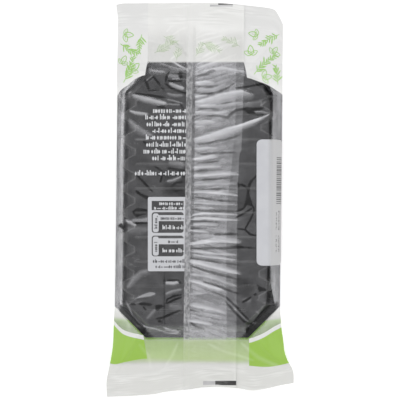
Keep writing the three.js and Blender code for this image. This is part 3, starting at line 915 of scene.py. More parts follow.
class Graph:
    """A node tree that is filled by short calls. An input is a socket to link or a value to set."""

    def __init__(self, tree: Tree) -> None:
        """Wraps a tree and empties it."""
        self.tree = tree
        tree.nodes.clear()

    def put(self, socket: Socket, value: Any) -> None:
        """Links a socket into an input, or sets the input's own value."""
        if isinstance(value, Socket):
            self.tree.links.new(value, socket)
        elif value is not None:
            socket.default_value = value

    def fill(self, node: Node, inputs: dict[str | int, Any]) -> None:
        """Sets or links several inputs of a node, by name or number."""
        for key, value in inputs.items():
            self.put(node.inputs[key], value)

    def node(self, kind: str, inputs: dict[str | int, Any] | None = None, **settings: Any) -> Node:
        """Adds a node.

        Args:
            kind: the node's type name.
            inputs: values or sockets by input name or number.
            settings: the node's own properties.

        Returns:
            The new node.
        """
        made = self.tree.nodes.new(kind)
        for name, value in settings.items():
            setattr(made, name, value)
        self.fill(made, inputs or {})
        return made

    def math(self, operation: str, *values: Any, clamp: bool = False) -> Socket:
        """A Math node's result."""
        values = dict(enumerate(values))
        return self.node("ShaderNodeMath", values, operation=operation, use_clamp=clamp).outputs[0]

    def times(self, first: Any, second: Any) -> Socket:
        """Two values multiplied."""
        return self.math("MULTIPLY", first, second)

    def most(self, first: Any, second: Any) -> Socket:
        """The larger of two values."""
        return self.math("MAXIMUM", first, second)

    def plus(self, first: Any, second: Any) -> Socket:
        """Two values added."""
        return self.math("ADD", first, second)

    def less(self, first: Any, second: Any) -> Socket:
        """One value less another."""
        return self.math("SUBTRACT", first, second)

    def scaled(self, value: Any, factor: Any, base: Any) -> Socket:
        """A value times a factor, on top of a base."""
        return self.math("MULTIPLY_ADD", value, factor, base)

    def rest(self, value: Any) -> Socket:
        """What is left of 1."""
        return self.less(1, value)

    def between(self, value: Any, low: float, high: float) -> Socket:
        """1 between two limits, and 0 outside them."""
        return self.times(self.math("GREATER_THAN", value, low), self.math("LESS_THAN", value, high))

    def bump(self, shader: Node, height: Any, strength: float, distance: float) -> None:
        """Feeds a fine relief into a shader's normal."""
        made = self.node("ShaderNodeBump", {"Height": height, "Strength": strength, "Distance": distance})
        self.put(shader.inputs["Normal"], made.outputs[0])

    def flat_place(self) -> Node:
        """The place on the flat material, in millimetres, as a node with X and Y outputs."""
        flat = self.node("ShaderNodeUVMap", uv_map="flat").outputs[0]
        return self.node("ShaderNodeSeparateXYZ", {0: flat})

    def step(self, value: Any, low: float, high: float) -> Socket:
        """Goes smoothly from 0 at `low` to 1 at `high`."""
        values = {"Value": value, "From Min": low, "From Max": high}
        return self.node("ShaderNodeMapRange", values, interpolation_type="SMOOTHSTEP").outputs[0]

    def mix(self, share: Any, first: Any, second: Any) -> Socket:
        """A colour between two colours."""
        return self.node("ShaderNodeMix", {0: share, 6: first, 7: second}, data_type="RGBA").outputs[2]

    def noise(self, vector: Any, scale: float, detail: float = 2, rough: float = 0.5) -> Socket:
        """A noise texture's value."""
        values = {"Vector": vector, "Scale": scale, "Detail": detail, "Roughness": rough}
        return self.node("ShaderNodeTexNoise", values).outputs[0]

    def attribute(self, name: str) -> Socket:
        """A number that the mesh keeps for each corner."""
        return self.node("ShaderNodeAttribute", attribute_name=name).outputs["Fac"]

    def object_place(self, scale: tuple[float, float, float] = (1, 1, 1)) -> Socket:
        """Object coordinates, stretched."""
        place = self.node("ShaderNodeTexCoord").outputs["Object"]
        return self.node("ShaderNodeMapping", {"Vector": place, "Scale": scale}).outputs[0]


def new_group(name: str, kind: str, inputs: dict[str, tuple[str, Any]], outputs: dict[str, str]) -> Tree:
    """A node group with named sockets.

    Args:
        name: the group's name.
        kind: its tree type.
        inputs: socket type and default value by input name.
        outputs: socket type by output name.

    Returns:
        The new group, without nodes.
    """
    group = bpy.data.node_groups.new(name, kind)
    for label, (socket_type, value) in inputs.items():
        socket = group.interface.new_socket(label, in_out="INPUT", socket_type=socket_type)
        if value is not None:
            socket.default_value = value
    for label, socket_type in outputs.items():
        group.interface.new_socket(label, in_out="OUTPUT", socket_type=socket_type)
    return group


class SurfaceGroups:
    """The shader groups that more than one material uses."""

    FLOAT = "NodeSocketFloat"

    def __init__(self) -> None:
        """Builds each group once."""
        self.speckle = self._speckle()
        self.box = self._rounded_box()

    def speckled(self, g: Graph, scale: float, grain: float) -> Node:
        """Places the speckle in a material, with its own sizes."""
        return g.node("ShaderNodeGroup", {"Scale": scale, "Grain Scale": grain}, node_tree=self.speckle)

    def _speckle(self) -> Tree:
        """Uneven tone and a fine bump height, such as dust, grain and handling leave."""
        group = new_group(
            "surface_speckle",
            "ShaderNodeTree",
            {"Scale": (self.FLOAT, 300.0), "Grain Scale": (self.FLOAT, 2500.0)},
            {"Tone": self.FLOAT, "Height": self.FLOAT},
        )
        g = Graph(group)
        given = g.node("NodeGroupInput")
        place = g.node("ShaderNodeTexCoord").outputs["Object"]
        tone = g.noise(place, given.outputs["Scale"], 3, 0.6)
        grain = g.noise(place, given.outputs["Grain Scale"], 2, 0.5)
        g.node("NodeGroupOutput", {"Tone": tone, "Height": g.scaled(grain, 0.4, tone)})
        return group

    def _rounded_box(self) -> Tree:
        """A mask that is 1 inside a box with round corners, on a plane in millimetres."""
        names = ("X", "Y", "Middle X", "Middle Y", "Half Width", "Half Height", "Radius")
        group = new_group(
            "rounded_box", "ShaderNodeTree", {n: (self.FLOAT, 0.0) for n in names}, {"Mask": self.FLOAT}
        )
        g = Graph(group)
        given = g.node("NodeGroupInput").outputs
        reach = []
        for axis, half in (("X", "Half Width"), ("Y", "Half Height")):
            off = g.math("ABSOLUTE", g.less(given[axis], given["Middle " + axis]))
            core = g.less(given[half], given["Radius"])
            reach.append(g.less(off, core))
        outside = [g.most(r, 0) for r in reach]
        squares = [g.times(o, o) for o in outside]
        corner = g.math("SQRT", g.plus(*squares))
        inner = g.math("MINIMUM", g.most(*reach), 0)
        distance = g.less(g.plus(corner, inner), given["Radius"])
        g.node("NodeGroupOutput", {"Mask": g.step(g.times(distance, -1), -0.06, 0.06)})
        return group


def new_material(name: str) -> tuple[Material, Graph, Node]:
    """A material with a Principled shader and nothing else."""
    material = bpy.data.materials.new(name)
    material.use_nodes = True
    graph = Graph(material.node_tree)
    shader = graph.node("ShaderNodeBsdfPrincipled")
    out = graph.node("ShaderNodeOutputMaterial")
    graph.put(out.inputs["Surface"], shader.outputs[0])
    return material, graph, shader


# Finishes.


@dataclass(frozen=True)
class InkColours:
    """The print's colours."""

    white: Colour = paint(229, 229, 228)
    low_white: Colour = paint(224, 224, 221)
    green: Colour = paint(153, 195, 70)
    # The green seen from inside the front film: its white backing shows through, and it is lighter still as
    # painted light.
    pale_green: Colour = paint(196, 245, 122)
    motif: Colour = paint(160, 209, 110)
    table: Colour = paint(208, 209, 213)
    grey: Colour = paint(186, 185, 187)
    reverse: Colour = paint(150, 150, 148)
    black: Colour = paint(26, 25, 26)


@dataclass(frozen=True)
class FilmFinish:
    """Clear glossy film: a little haze, a mirror share that grows at a glance, and ink. Extra haze on the
    folds' crests is a painted highlight, less haze where the film touches the tray is painted shade, and the
    whitening at the ends is partly painted light.
    """

    name: str
    haze: float
    # Haze added on fold crests as a painted highlight, and taken away where the film touches the tray as
    # painted shade.
    painted_fold_highlight: float = 0
    painted_contact_shade: float = 0.04
    mirror: float = 0.06
    glance: float = 0.3
    roughness: float = 0.2
    haze_colour: Colour = paint(236, 236, 240)
    # The whitening's colours: the slack film's haze, partly painted light.
    veil_and_painted_light_colour: Colour = paint(243, 243, 241)
    low_veil_and_painted_light: Colour = paint(234, 234, 231)
    green_veil_and_painted_light: Colour = paint(210, 228, 172)
    green_from: tuple[float, float] = (-0.0905, -0.087)
    green_to: tuple[float, float] = (-0.078, -0.074)
    bump: float = 0.03

    def shares(self, g: Graph, haze: Any, touch: Any) -> tuple[Any, Any]:
        """The mirror share and the haze share at each place.

        Both are larger where the film is seen at a glance. Most of the mirror goes where it touches the tray.

        Args:
            g: the material's tree.
            haze: how hazy the film is, from 0 to 1.
            touch: 0 on slack film, down to -1 where it touches the tray.

        Returns:
            The mirror's share and the haze's share.
        """
        facing = g.node("ShaderNodeLayerWeight", {"Blend": 0.5}).outputs["Facing"]
        cosine = g.most(g.rest(facing), 0.12)
        clear = g.math("POWER", g.rest(haze), g.math("DIVIDE", 1, cosine))
        glance = g.math("POWER", facing, 3)
        mirror = g.scaled(glance, self.glance, self.mirror)
        loose = g.scaled(touch, 0.8, 1)
        return g.times(mirror, loose), g.rest(clear)

    def material(self, ink: Callable[[Graph], tuple[Any, Any]] | None = None) -> Material:
        """Builds the material.

        Args:
            ink: gives the ink's colour and its cover from 0 to 1, or None for bare film.

        Returns:
            The material.
        """
        material, g, shader = new_material(self.name)
        place = g.object_place()
        cloud = g.step(g.noise(place, 160, 3, 0.55), 0.35, 0.7)
        # Painted light from the wrinkles: over 0 it adds white haze as a painted highlight on the folds'
        # crests, under 0 it takes haze away as painted shade where the film touches the tray.
        painted_light = g.attribute("painted_light")
        folds = g.times(g.most(painted_light, 0), self.painted_fold_highlight)
        touch = g.math("MINIMUM", painted_light, 0)
        touching = g.times(touch, self.painted_contact_shade)
        even = g.scaled(cloud, self.haze * 0.5, self.haze * 0.75)
        haze = g.most(g.plus(g.plus(folds, touching), even), 0)
        mirror, milky = self.shares(g, haze, touch)
        both = g.plus(mirror, milky)
        cover = g.math("MINIMUM", both, 1)
        metal = g.math("DIVIDE", mirror, both)
        # The whitening: the slack film's own haze, and painted light that brightens it where the tray shades
        # the film beneath.
        veil_and_painted_light = g.attribute("veil_and_painted_light")
        along = g.node("ShaderNodeSeparateXYZ", {0: place}).outputs[1]
        low, high = self.green_from, self.green_to
        over_green = g.less(g.step(along, *low), g.step(along, *high))
        plain_veil_and_painted_light = g.mix(g.step(along, -0.06, -0.05), self.low_veil_and_painted_light, self.veil_and_painted_light_colour)
        veil_and_painted_light_colour = g.mix(over_green, plain_veil_and_painted_light, self.green_veil_and_painted_light)
        colour: Any = g.mix(veil_and_painted_light, self.haze_colour, veil_and_painted_light_colour)
        layers = [(veil_and_painted_light_colour, veil_and_painted_light)]
        if ink is not None:
            layers.append(ink(g))
        for layer_colour, layer_cover in layers:
            clear = g.rest(layer_cover)
            cover = g.rest(g.times(g.rest(cover), clear))
            share = g.math("DIVIDE", layer_cover, cover)
            colour = g.mix(share, colour, layer_colour)
            metal = g.times(metal, g.rest(share))
        # Painted highlights whiten the whitened film's crests towards near white, and painted shade greys its
        # contact lines.
        lit = g.math("MULTIPLY", g.times(painted_light, veil_and_painted_light), 0.5, clamp=True)
        shaded = g.math("MULTIPLY", g.times(touch, veil_and_painted_light), -0.35, clamp=True)
        colour = g.mix(lit, colour, paint(253, 253, 252))
        colour = g.mix(shaded, colour, paint(196, 196, 193))
        rough = g.scaled(veil_and_painted_light, 0.45, self.roughness)
        g.fill(shader, {"Base Color": colour, "Metallic": metal, "Alpha": cover, "Roughness": rough})
        fine = g.noise(g.object_place((1, 1.6, 1)), 420, 4, 0.55)
        g.bump(shader, fine, self.bump, 0.0004)
        return material


@dataclass(frozen=True)
class InkFinish:
    """Thin print: an even colour with a little variation of tone and a fine bump."""

    name: str
    colour: Colour
    cover: float = 0.94
    variation: float = 0.05

    def material(self, groups: SurfaceGroups) -> Material:
        """Builds the material.

        Args:
            groups: the shared shader groups.

        Returns:
            The material.
        """
        material, g, shader = new_material(self.name)
        speckle = groups.speckled(g, 900, 4000)
        limits = (1 - self.variation, 1 + self.variation)
        dark, light = ((*(min(c * limit, 1) for c in self.colour[:3]), 1) for limit in limits)
        tone = g.step(speckle.outputs["Tone"], 0.3, 0.7)
        g.fill(shader, {
            "Base Color": g.mix(tone, dark, light),
            "Roughness": g.scaled(tone, 0.08, 0.42),
            "Alpha": self.cover,
        })
        g.bump(shader, speckle.outputs["Height"], 0.05, 0.0001)
        return material


# What repeats.


@dataclass
class Points:
    """Where shapes are set: rows of millimetres, turns as angles, sizes, and which of three shapes it is."""

    places: list[tuple[float, float, float]] = field(default_factory=list)
    turns: list[tuple[float, float, float]] = field(default_factory=list)
    sizes: list[tuple[float, float, float]] = field(default_factory=list)
    kinds: list[int] = field(default_factory=list)

    def add(self, place: Sequence[float], turn: float, size: Sequence[float], kind: int) -> None:
        """Adds a flat shape, turned round the upright axis.

        Args:
            place: where it lies, across and along.
            turn: its angle.
            size: its size across and along.
            kind: which of the three shapes it is.
        """
        self.places.append((*place, 0))
        self.turns.append((0, 0, turn))
        self.sizes.append((*size, 1))
        self.kinds.append(kind)


class Scatter:
    """Geometry Nodes that set one of three shapes at each point."""

    SHAPES = ("Shape A", "Shape B", "Shape C")

    def __init__(self) -> None:
        """Builds the tree once."""
        self.tree = self._tree()

    def _tree(self) -> Tree:
        """Points go in, and real shapes with a material come out."""
        inputs: dict[str, tuple[str, Any]] = {"Geometry": ("NodeSocketGeometry", None)}
        inputs.update({name: ("NodeSocketObject", None) for name in self.SHAPES})
        inputs["Least Size"] = ("NodeSocketFloat", 1.0)
        inputs["Greatest Size"] = ("NodeSocketFloat", 1.0)
        inputs["Seed"] = ("NodeSocketInt", 0)
        inputs["Material"] = ("NodeSocketMaterial", None)
        tree = new_group("scatter_shapes", "GeometryNodeTree", inputs, {"Geometry": "NodeSocketGeometry"})
        g = Graph(tree)
        given = g.node("NodeGroupInput").outputs
        shapes = g.node("GeometryNodeJoinGeometry")
        for name in reversed(self.SHAPES):
            shape = g.node("GeometryNodeObjectInfo", {"Object": given[name], "As Instance": True})
            g.put(shapes.inputs[0], shape.outputs["Geometry"])
        turn, size = (
            g.node("GeometryNodeInputNamedAttribute", {"Name": name}, data_type="FLOAT_VECTOR").outputs[0]
            for name in ("turn", "size")
        )
        kind = g.node("GeometryNodeInputNamedAttribute", {"Name": "kind"}, data_type="INT").outputs[0]
        random = g.node("FunctionNodeRandomValue", {"Seed": given["Seed"]}, data_type="FLOAT")
        for label, socket in (("Min", given["Least Size"]), ("Max", given["Greatest Size"])):
            g.put(next(i for i in random.inputs if i.name == label and i.type == "VALUE"), socket)
        spread = next(o for o in random.outputs if o.type == "VALUE")
        scale = g.node("ShaderNodeVectorMath", {0: size, "Scale": spread}, operation="SCALE").outputs[0]
        rotation = g.node("FunctionNodeEulerToRotation", {0: turn}).outputs[0]
        set_up = g.node(
            "GeometryNodeInstanceOnPoints",
            {
                "Points": given["Geometry"], "Instance": shapes.outputs[0], "Pick Instance": True,
                "Instance Index": kind, "Rotation": rotation, "Scale": scale,
            },
        )
        real = g.node("GeometryNodeRealizeInstances", {0: set_up.outputs[0]}).outputs[0]
        painted = g.node("GeometryNodeSetMaterial", {"Geometry": real, "Material": given["Material"]})
        g.put(g.node("NodeGroupOutput").inputs[0], painted.outputs[0])
        return tree

    def make(
        self,
        name: str,
        points: Points,
        shapes: Sequence[Piece],
        material: Material,
        spread: tuple[float, float] = (1.0, 1.0),
        seed: int = 1,
    ) -> Piece:
        """Makes one real mesh piece.

        Args:
            name: the piece's name.
            points: where the shapes go.
            shapes: the three shapes.
            material: what the piece is made of.
            spread: the least and the greatest size.
            seed: what the random sizes come from.

        Returns:
            The piece, without a modifier.
        """
        carrier = make_mesh(name + "_points", np.array(points.places, float), np.zeros((0, 4), int))
        for label, rows in (("turn", points.turns), ("size", points.sizes)):
            attribute = carrier.data.attributes.new(label, "FLOAT_VECTOR", "POINT")
            attribute.data.foreach_set("vector", np.array(rows, np.float32).ravel())
        kinds = carrier.data.attributes.new("kind", "INT", "POINT")
        kinds.data.foreach_set("value", points.kinds)
        modifier = carrier.modifiers.new("scatter", "NODES")
        modifier.node_group = self.tree
        values = dict(zip(self.SHAPES, shapes))
        values.update({"Least Size": spread[0], "Greatest Size": spread[1]})
        values.update({"Seed": seed, "Material": material})
        for socket in self.tree.interface.items_tree:
            if socket.in_out == "INPUT" and socket.name in values:
                modifier[socket.identifier] = values[socket.name]
        evaluated = carrier.evaluated_get(bpy.context.evaluated_depsgraph_get())
        mesh = bpy.data.meshes.new_from_object(evaluated)
        carrier.modifiers.clear()
        bpy.data.objects.remove(carrier)
        mesh.name = name
        return link(name, mesh)


def strip_shape(name: str, middle: Array, width: Array) -> Piece:
    """A flat shape along a line of points.

    Args:
        name: the shape's name.
        middle: the line's points.
        width: how wide it is at each of them.

    Returns:
        The shape.
    """
    along = np.gradient(middle, axis=0)
    along /= np.linalg.norm(along, axis=1, keepdims=True)
    side = np.stack([-along[:, 1], along[:, 0]], axis=1) * width[:, None] / 2
    points = np.concatenate([middle + side, middle - side])
    points = np.concatenate([points, np.zeros((len(points), 1))], axis=1)
    i = np.arange(len(middle) - 1)
    count = len(middle)
    return make_mesh(name, points, np.stack([i + count, i + count + 1, i + 1, i], axis=1))


class Stamps:
    """The small flat shapes that marks and sprigs are made of, one millimetre long."""

    def __init__(self) -> None:
        """Makes the shapes."""
        t = np.linspace(0, 1, 6)
        turn = np.linspace(0, math.tau, 17)
        across = np.stack([t, 0 * t], axis=1)
        upright = np.stack([0 * t, t], axis=1)
        side = 0.24 * np.sign(np.sin(turn)) * np.abs(np.sin(turn)) ** 1.3
        leaf = np.stack([0.5 - 0.5 * np.cos(turn), side * (1 + 0.25 * np.cos(turn))], axis=1)
        self.bar = strip_shape("shape_bar", upright, np.full(6, 0.2))
        self.blob = strip_shape("shape_blob", upright, 0.25 + 0.6 * np.sin(math.pi * t))
        self.dash = strip_shape("shape_dash", across, np.full(6, 0.2))
        self.needle = strip_shape("shape_needle", across, 0.05 + 0.22 * np.sin(math.pi * t) ** 0.7)
        self.leaf = strip_shape("shape_leaf", leaf, np.full(17, 0.08))

    def remove(self) -> None:
        """Takes the shapes out of the scene again."""
        for shape in (self.bar, self.blob, self.dash, self.needle, self.leaf):
            bpy.data.objects.remove(shape)


@dataclass
class Ground:
    """A finished film mesh as a surface that thin pieces are laid on."""

    shape: PackShape
    rows: Array
    x: Array
    z: Array

    def height(self, x: Array, y: Array) -> Array:
        """The mesh's own height.

        Args:
            x: places across.
            y: places along, on the film as it is cut.

        Returns:
            The height at each place.
        """
        row = self.shape.even_row(x, y)
        at = np.interp(row, self.rows, np.arange(len(self.rows)))
        i = np.clip(np.floor(at).astype(int), 0, len(self.rows) - 2)
        down = (at - i)[:, None]
        xs = lerp(self.x[i], self.x[i + 1], down)
        zs = lerp(self.z[i], self.z[i + 1], down)
        j = np.clip((xs <= x[:, None]).sum(axis=1) - 1, 0, xs.shape[1] - 2)
        n = np.arange(len(x))
        share = (x - xs[n, j]) / np.maximum(xs[n, j + 1] - xs[n, j], 1e-9)
        return lerp(zs[n, j], zs[n, j + 1], np.clip(share, 0, 1))

    def lay(self, piece: Piece, lift: float) -> None:
        """Lays a flat piece on the film, a little above it."""
        points = corners_of(piece.data)
        points[:, 2] = self.height(points[:, 0], points[:, 1]) + lift
        place_corners(piece.data, points)


# The film.


@dataclass(frozen=True)
class Box:
    """A printed box with round corners, in millimetres."""

    left: float
    low: float
    right: float
    high: float
    radius: float = 0.1

    def mask(self, g: Graph, groups: SurfaceGroups, place: Node) -> Socket:
        """1 inside the box.

        Args:
            g: the material's tree.
            groups: the shared shader groups.
            place: the node that gives the place on the flat film.

        Returns:
            The mask.
        """
        values = {
            "X": place.outputs[0], "Y": place.outputs[1],
            "Middle X": (self.left + self.right) / 2, "Middle Y": (self.low + self.high) / 2,
            "Half Width": (self.right - self.left) / 2, "Half Height": (self.high - self.low) / 2,
            "Radius": self.radius,
        }
        return g.node("ShaderNodeGroup", values, node_tree=groups.box).outputs["Mask"]


@dataclass(frozen=True)
class Table:
    """The framed table: its outline and dark cells, and the white cells that lie in them."""

    dark: Sequence[Box] = listed(
        Box,
        (-28.4, -38.8, -5.5, 1.65, 1), (-26.3, -5.5, -8.9, -0.5), (-26.3, -17.9, -8.9, -6.6, 1.5),
        (-26.3, -30.7, -8.9, -19.4, 1.5),
    )
    white: Sequence[Box] = listed(
        Box,
        (-25.7, -17.5, -22.5, -7.3, 1.2), (-22.7, -11.5, -7.2, -8.2), (-25.7, -30.3, -22.5, -19.9, 1.2),
        (-22.7, -24.1, -7.2, -20.9),
    )


@dataclass
class FilmWrap:
    """The printed film tube: its back, which is up, and its front."""

    surface: PackSurface
    inks: InkColours
    groups: SurfaceGroups
    table: Table = Table()
    wall_columns: int = 30
    top_columns: int = 186
    split_column: int = 110
    body_rows: int = 440
    end_rows: int = 70
    print_edge: float = 0.15
    line_edge: tuple[float, float] = (1.1, 1.35)
    strip_left: Pairs = (
        (-108, -28.4), (-87, -29), (-76, -30.6), (-70, -31), (60, -30.6), (69, -29.8), (75.6, -28.6),
    )
    strip_right: Pairs = ((-108, 27.2), (-76, 26.8), (60, 26.4), (67, 25.6), (69.5, 25.2), (75.6, 23.8))
    white_foot: Pairs = (
        (-47, 55), (-44.5, 59), (-43.1, 60.5), (-39.5, 62.8), (-35.3, 66), (-29.8, 68), (0, 70), (25.6, 66.6),
        (32, 64.5), (37.8, 62.4), (41.2, 60.4), (44.8, 58.4), (47, 56.5),
    )
    line_place: Pairs = (
        (-50, -64.5), (-47.6, -67.5), (-43.2, -71.8), (-39.5, -73.4), (-32, -74.8), (-29, -75.6),
        (0, -80), (27, -76.8), (31, -75.6), (35.1, -74), (40.3, -71.1), (44.6, -69.1), (50, -66.5),
    )
    green_foot: Pairs = (
        (-52, -89.4), (-46.6, -90.3), (-41, -89), (-29.5, -87.2), (0, -89.5), (27, -91.1), (34, -91.7),
        (40, -91.5), (46.6, -90.2), (52, -88.8),
    )

    def rows(self) -> Array:
        """Where the mesh's rows lie along the pack, before they are moved to the cut."""
        shape = self.surface.shape
        body = np.linspace(-shape.base_half_length, shape.base_half_length, self.body_rows)
        end = np.linspace(shape.base_half_length, shape.cut_length, self.end_rows)[1:]
        return np.concatenate([-end[::-1], body, end])

    def grid(self, wall: int, top: int) -> tuple[Array, Array]:
        """Places across and along for each corner of a film mesh.

        Args:
            wall: columns on each side wall.
            top: columns on the flat top.

        Returns:
            Two grids of millimetres, with rows that aren't moved to the cut yet.
        """
        shape = self.surface.shape
        y = self.rows()[:, None]
        left, right = through(shape.left_edge, y), through(shape.right_edge, y)
        sides = [
            np.sign(edge) * np.minimum(shape.top_edge(edge, y), np.abs(edge) - shape.seal_edge)
            for edge in (left, right)
        ]
        wall_share = np.linspace(0, 1, wall)[None, :]
        top_share = np.linspace(0, 1, top)[None, :]
        columns = [
            lerp(left, sides[0], wall_share),
            lerp(sides[0], sides[1], top_share)[:, 1:-1],
            lerp(sides[1], right, wall_share),
        ]
        x = np.concatenate(columns, axis=1)
        return x, np.broadcast_to(y, x.shape)

    def build(self) -> tuple[list[Piece], Piece]:
        """Makes the back film, whose halves meet under the seam's root, and the front film."""
        shape = self.surface.shape
        x, row = self.grid(self.wall_columns, self.top_columns)
        y = shape.follow_cut(x, row)
        height = self.surface.back(x, row)
        self.flat_rows = (x, height)
        halves = []
        parts = {"left": slice(None, self.split_column + 1), "right": slice(self.split_column, None)}
        for name, part in parts.items():
            half = grid_mesh("film_back_" + name, x[:, part], y[:, part], height[:, part])
            self.mark_back(half, x[:, part], y[:, part], row[:, part])
            halves.append(half)
        x, row = self.grid(12, 50)
        y = shape.follow_cut(x, row)
        front = grid_mesh("film_front", x, y, self.surface.front(x, row), flip=True)
        set_field(front, "painted_light", np.zeros(x.shape))
        set_field(front, "veil_and_painted_light", np.zeros(x.shape))
        self.mark_front(front, x, y)
        self.ground = Ground(shape, self.rows(), *self.flat_rows)
        return halves, front

    def mark_back(self, piece: Piece, x: Array, y: Array, row: Array) -> None:
        """Keeps the print's edges on the back film as distances in millimetres.

        Args:
            piece: a half of the back film.
            x: how far across its corners lie.
            y: how far along they lie.
            row: the same before they were moved to the cut.
        """
        # The wrinkles' painted highlights and shade, and the whitening that is partly painted light.
        set_field(piece, "painted_light", self.surface.relief(x, row)[1])
        set_field(piece, "veil_and_painted_light", self.surface.veil_and_painted_light(x, y))
        left, right = through(self.strip_left, y), through(self.strip_right, y)
        set_field(piece, "strip", np.maximum(left - x, x - right))
        set_uv(piece, x, y)
        set_field(piece, "white_print", y - through(self.white_foot, x))
        set_field(piece, "line_print", y - through(self.line_place, x))
        set_field(piece, "green_foot", y - through(self.green_foot, x))

    def mark_front(self, piece: Piece, x: Array, y: Array) -> None:
        """Keeps the print's edges on the front film as distances in millimetres."""
        set_field(piece, "white_print", y - (52 - 0.003 * x * x))
        set_field(piece, "line_print", y - (-68 + 0.002 * x * x))
        set_field(piece, "green_foot", y - through(self.green_foot, x))

    def print_masks(self, g: Graph) -> tuple[Socket, Socket, Socket, Socket]:
        """Where the upper white is, the distance from the white line, what lies below it, and the green."""
        edge = (-self.print_edge, self.print_edge)
        line = g.attribute("line_print")
        below = g.rest(g.step(line, -self.line_edge[1], -self.line_edge[0]))
        white = g.step(g.attribute("white_print"), *edge)
        return white, line, below, g.times(below, g.step(g.attribute("green_foot"), *edge))

    def back_ink(self, g: Graph) -> tuple[Any, Any]:
        """The ink on the back: white and green on the two side strips, and the table between them."""
        strip = g.step(g.attribute("strip"), -0.12, 0.12)
        white, line, below, green = self.print_masks(g)
        on_line = g.times(g.rest(below), g.rest(g.step(line, *self.line_edge)))
        plain = g.mix(below, self.inks.white, self.inks.low_white)
        colour = g.mix(green, plain, self.inks.green)
        cover = g.most(g.most(white, on_line), green)
        inside = g.node("ShaderNodeNewGeometry").outputs["Backfacing"]
        colour = g.mix(inside, colour, self.inks.reverse)
        table = self.table_mask(g)
        colour = g.mix(table, colour, self.inks.table)
        cover = g.most(g.times(cover, strip), table)
        return colour, g.times(cover, 0.97)

    def table_mask(self, g: Graph) -> Socket:
        """The white parts of the framed table: all but its dark cells, and the white cells in them."""
        place = g.flat_place()
        frame_box, *cells = (box.mask(g, self.groups, place) for box in self.table.dark)
        dark = cells[0]
        for cell in cells[1:]:
            dark = g.most(dark, cell)
        mask = g.times(frame_box, g.rest(dark))
        for box in self.table.white:
            mask = g.most(mask, box.mask(g, self.groups, place))
        return mask

    def front_ink(self, g: Graph) -> tuple[Any, Any]:
        """The ink on the front: white at both ends and green below the window, paler from inside, partly as
        the print's white backing and partly as painted light on the inside, which lies in shade.
        """
        inside = g.node("ShaderNodeNewGeometry").outputs["Backfacing"]
        white, line, _, green = self.print_masks(g)
        lower = g.rest(g.step(line, 1.1, 4))
        # The inside's paler green and whiter white are partly painted light against the shade that the back
        # film and the tray cast on it.
        seen = g.mix(inside, self.inks.green, self.inks.pale_green)
        plain = g.mix(inside, self.inks.white, paint(251, 251, 248))
        colour = g.mix(green, plain, seen)
        return colour, g.times(g.most(white, lower), 0.96)

    def dress(self, halves: Sequence[Piece], front: Piece) -> None:
        """Gives both films their printed material."""
        back_finish = FilmFinish("film_back_printed", haze=0.07, painted_fold_highlight=0.5, painted_contact_shade=0.09)
        back_film = back_finish.material(self.back_ink)
        for half in halves:
            finish_piece(half, Slot.FILM, back_film, ["film_wrap"])
        front_finish = FilmFinish("film_front_printed", haze=0.05)
        finish_piece(front, Slot.FILM, front_finish.material(self.front_ink), ["film_wrap"])


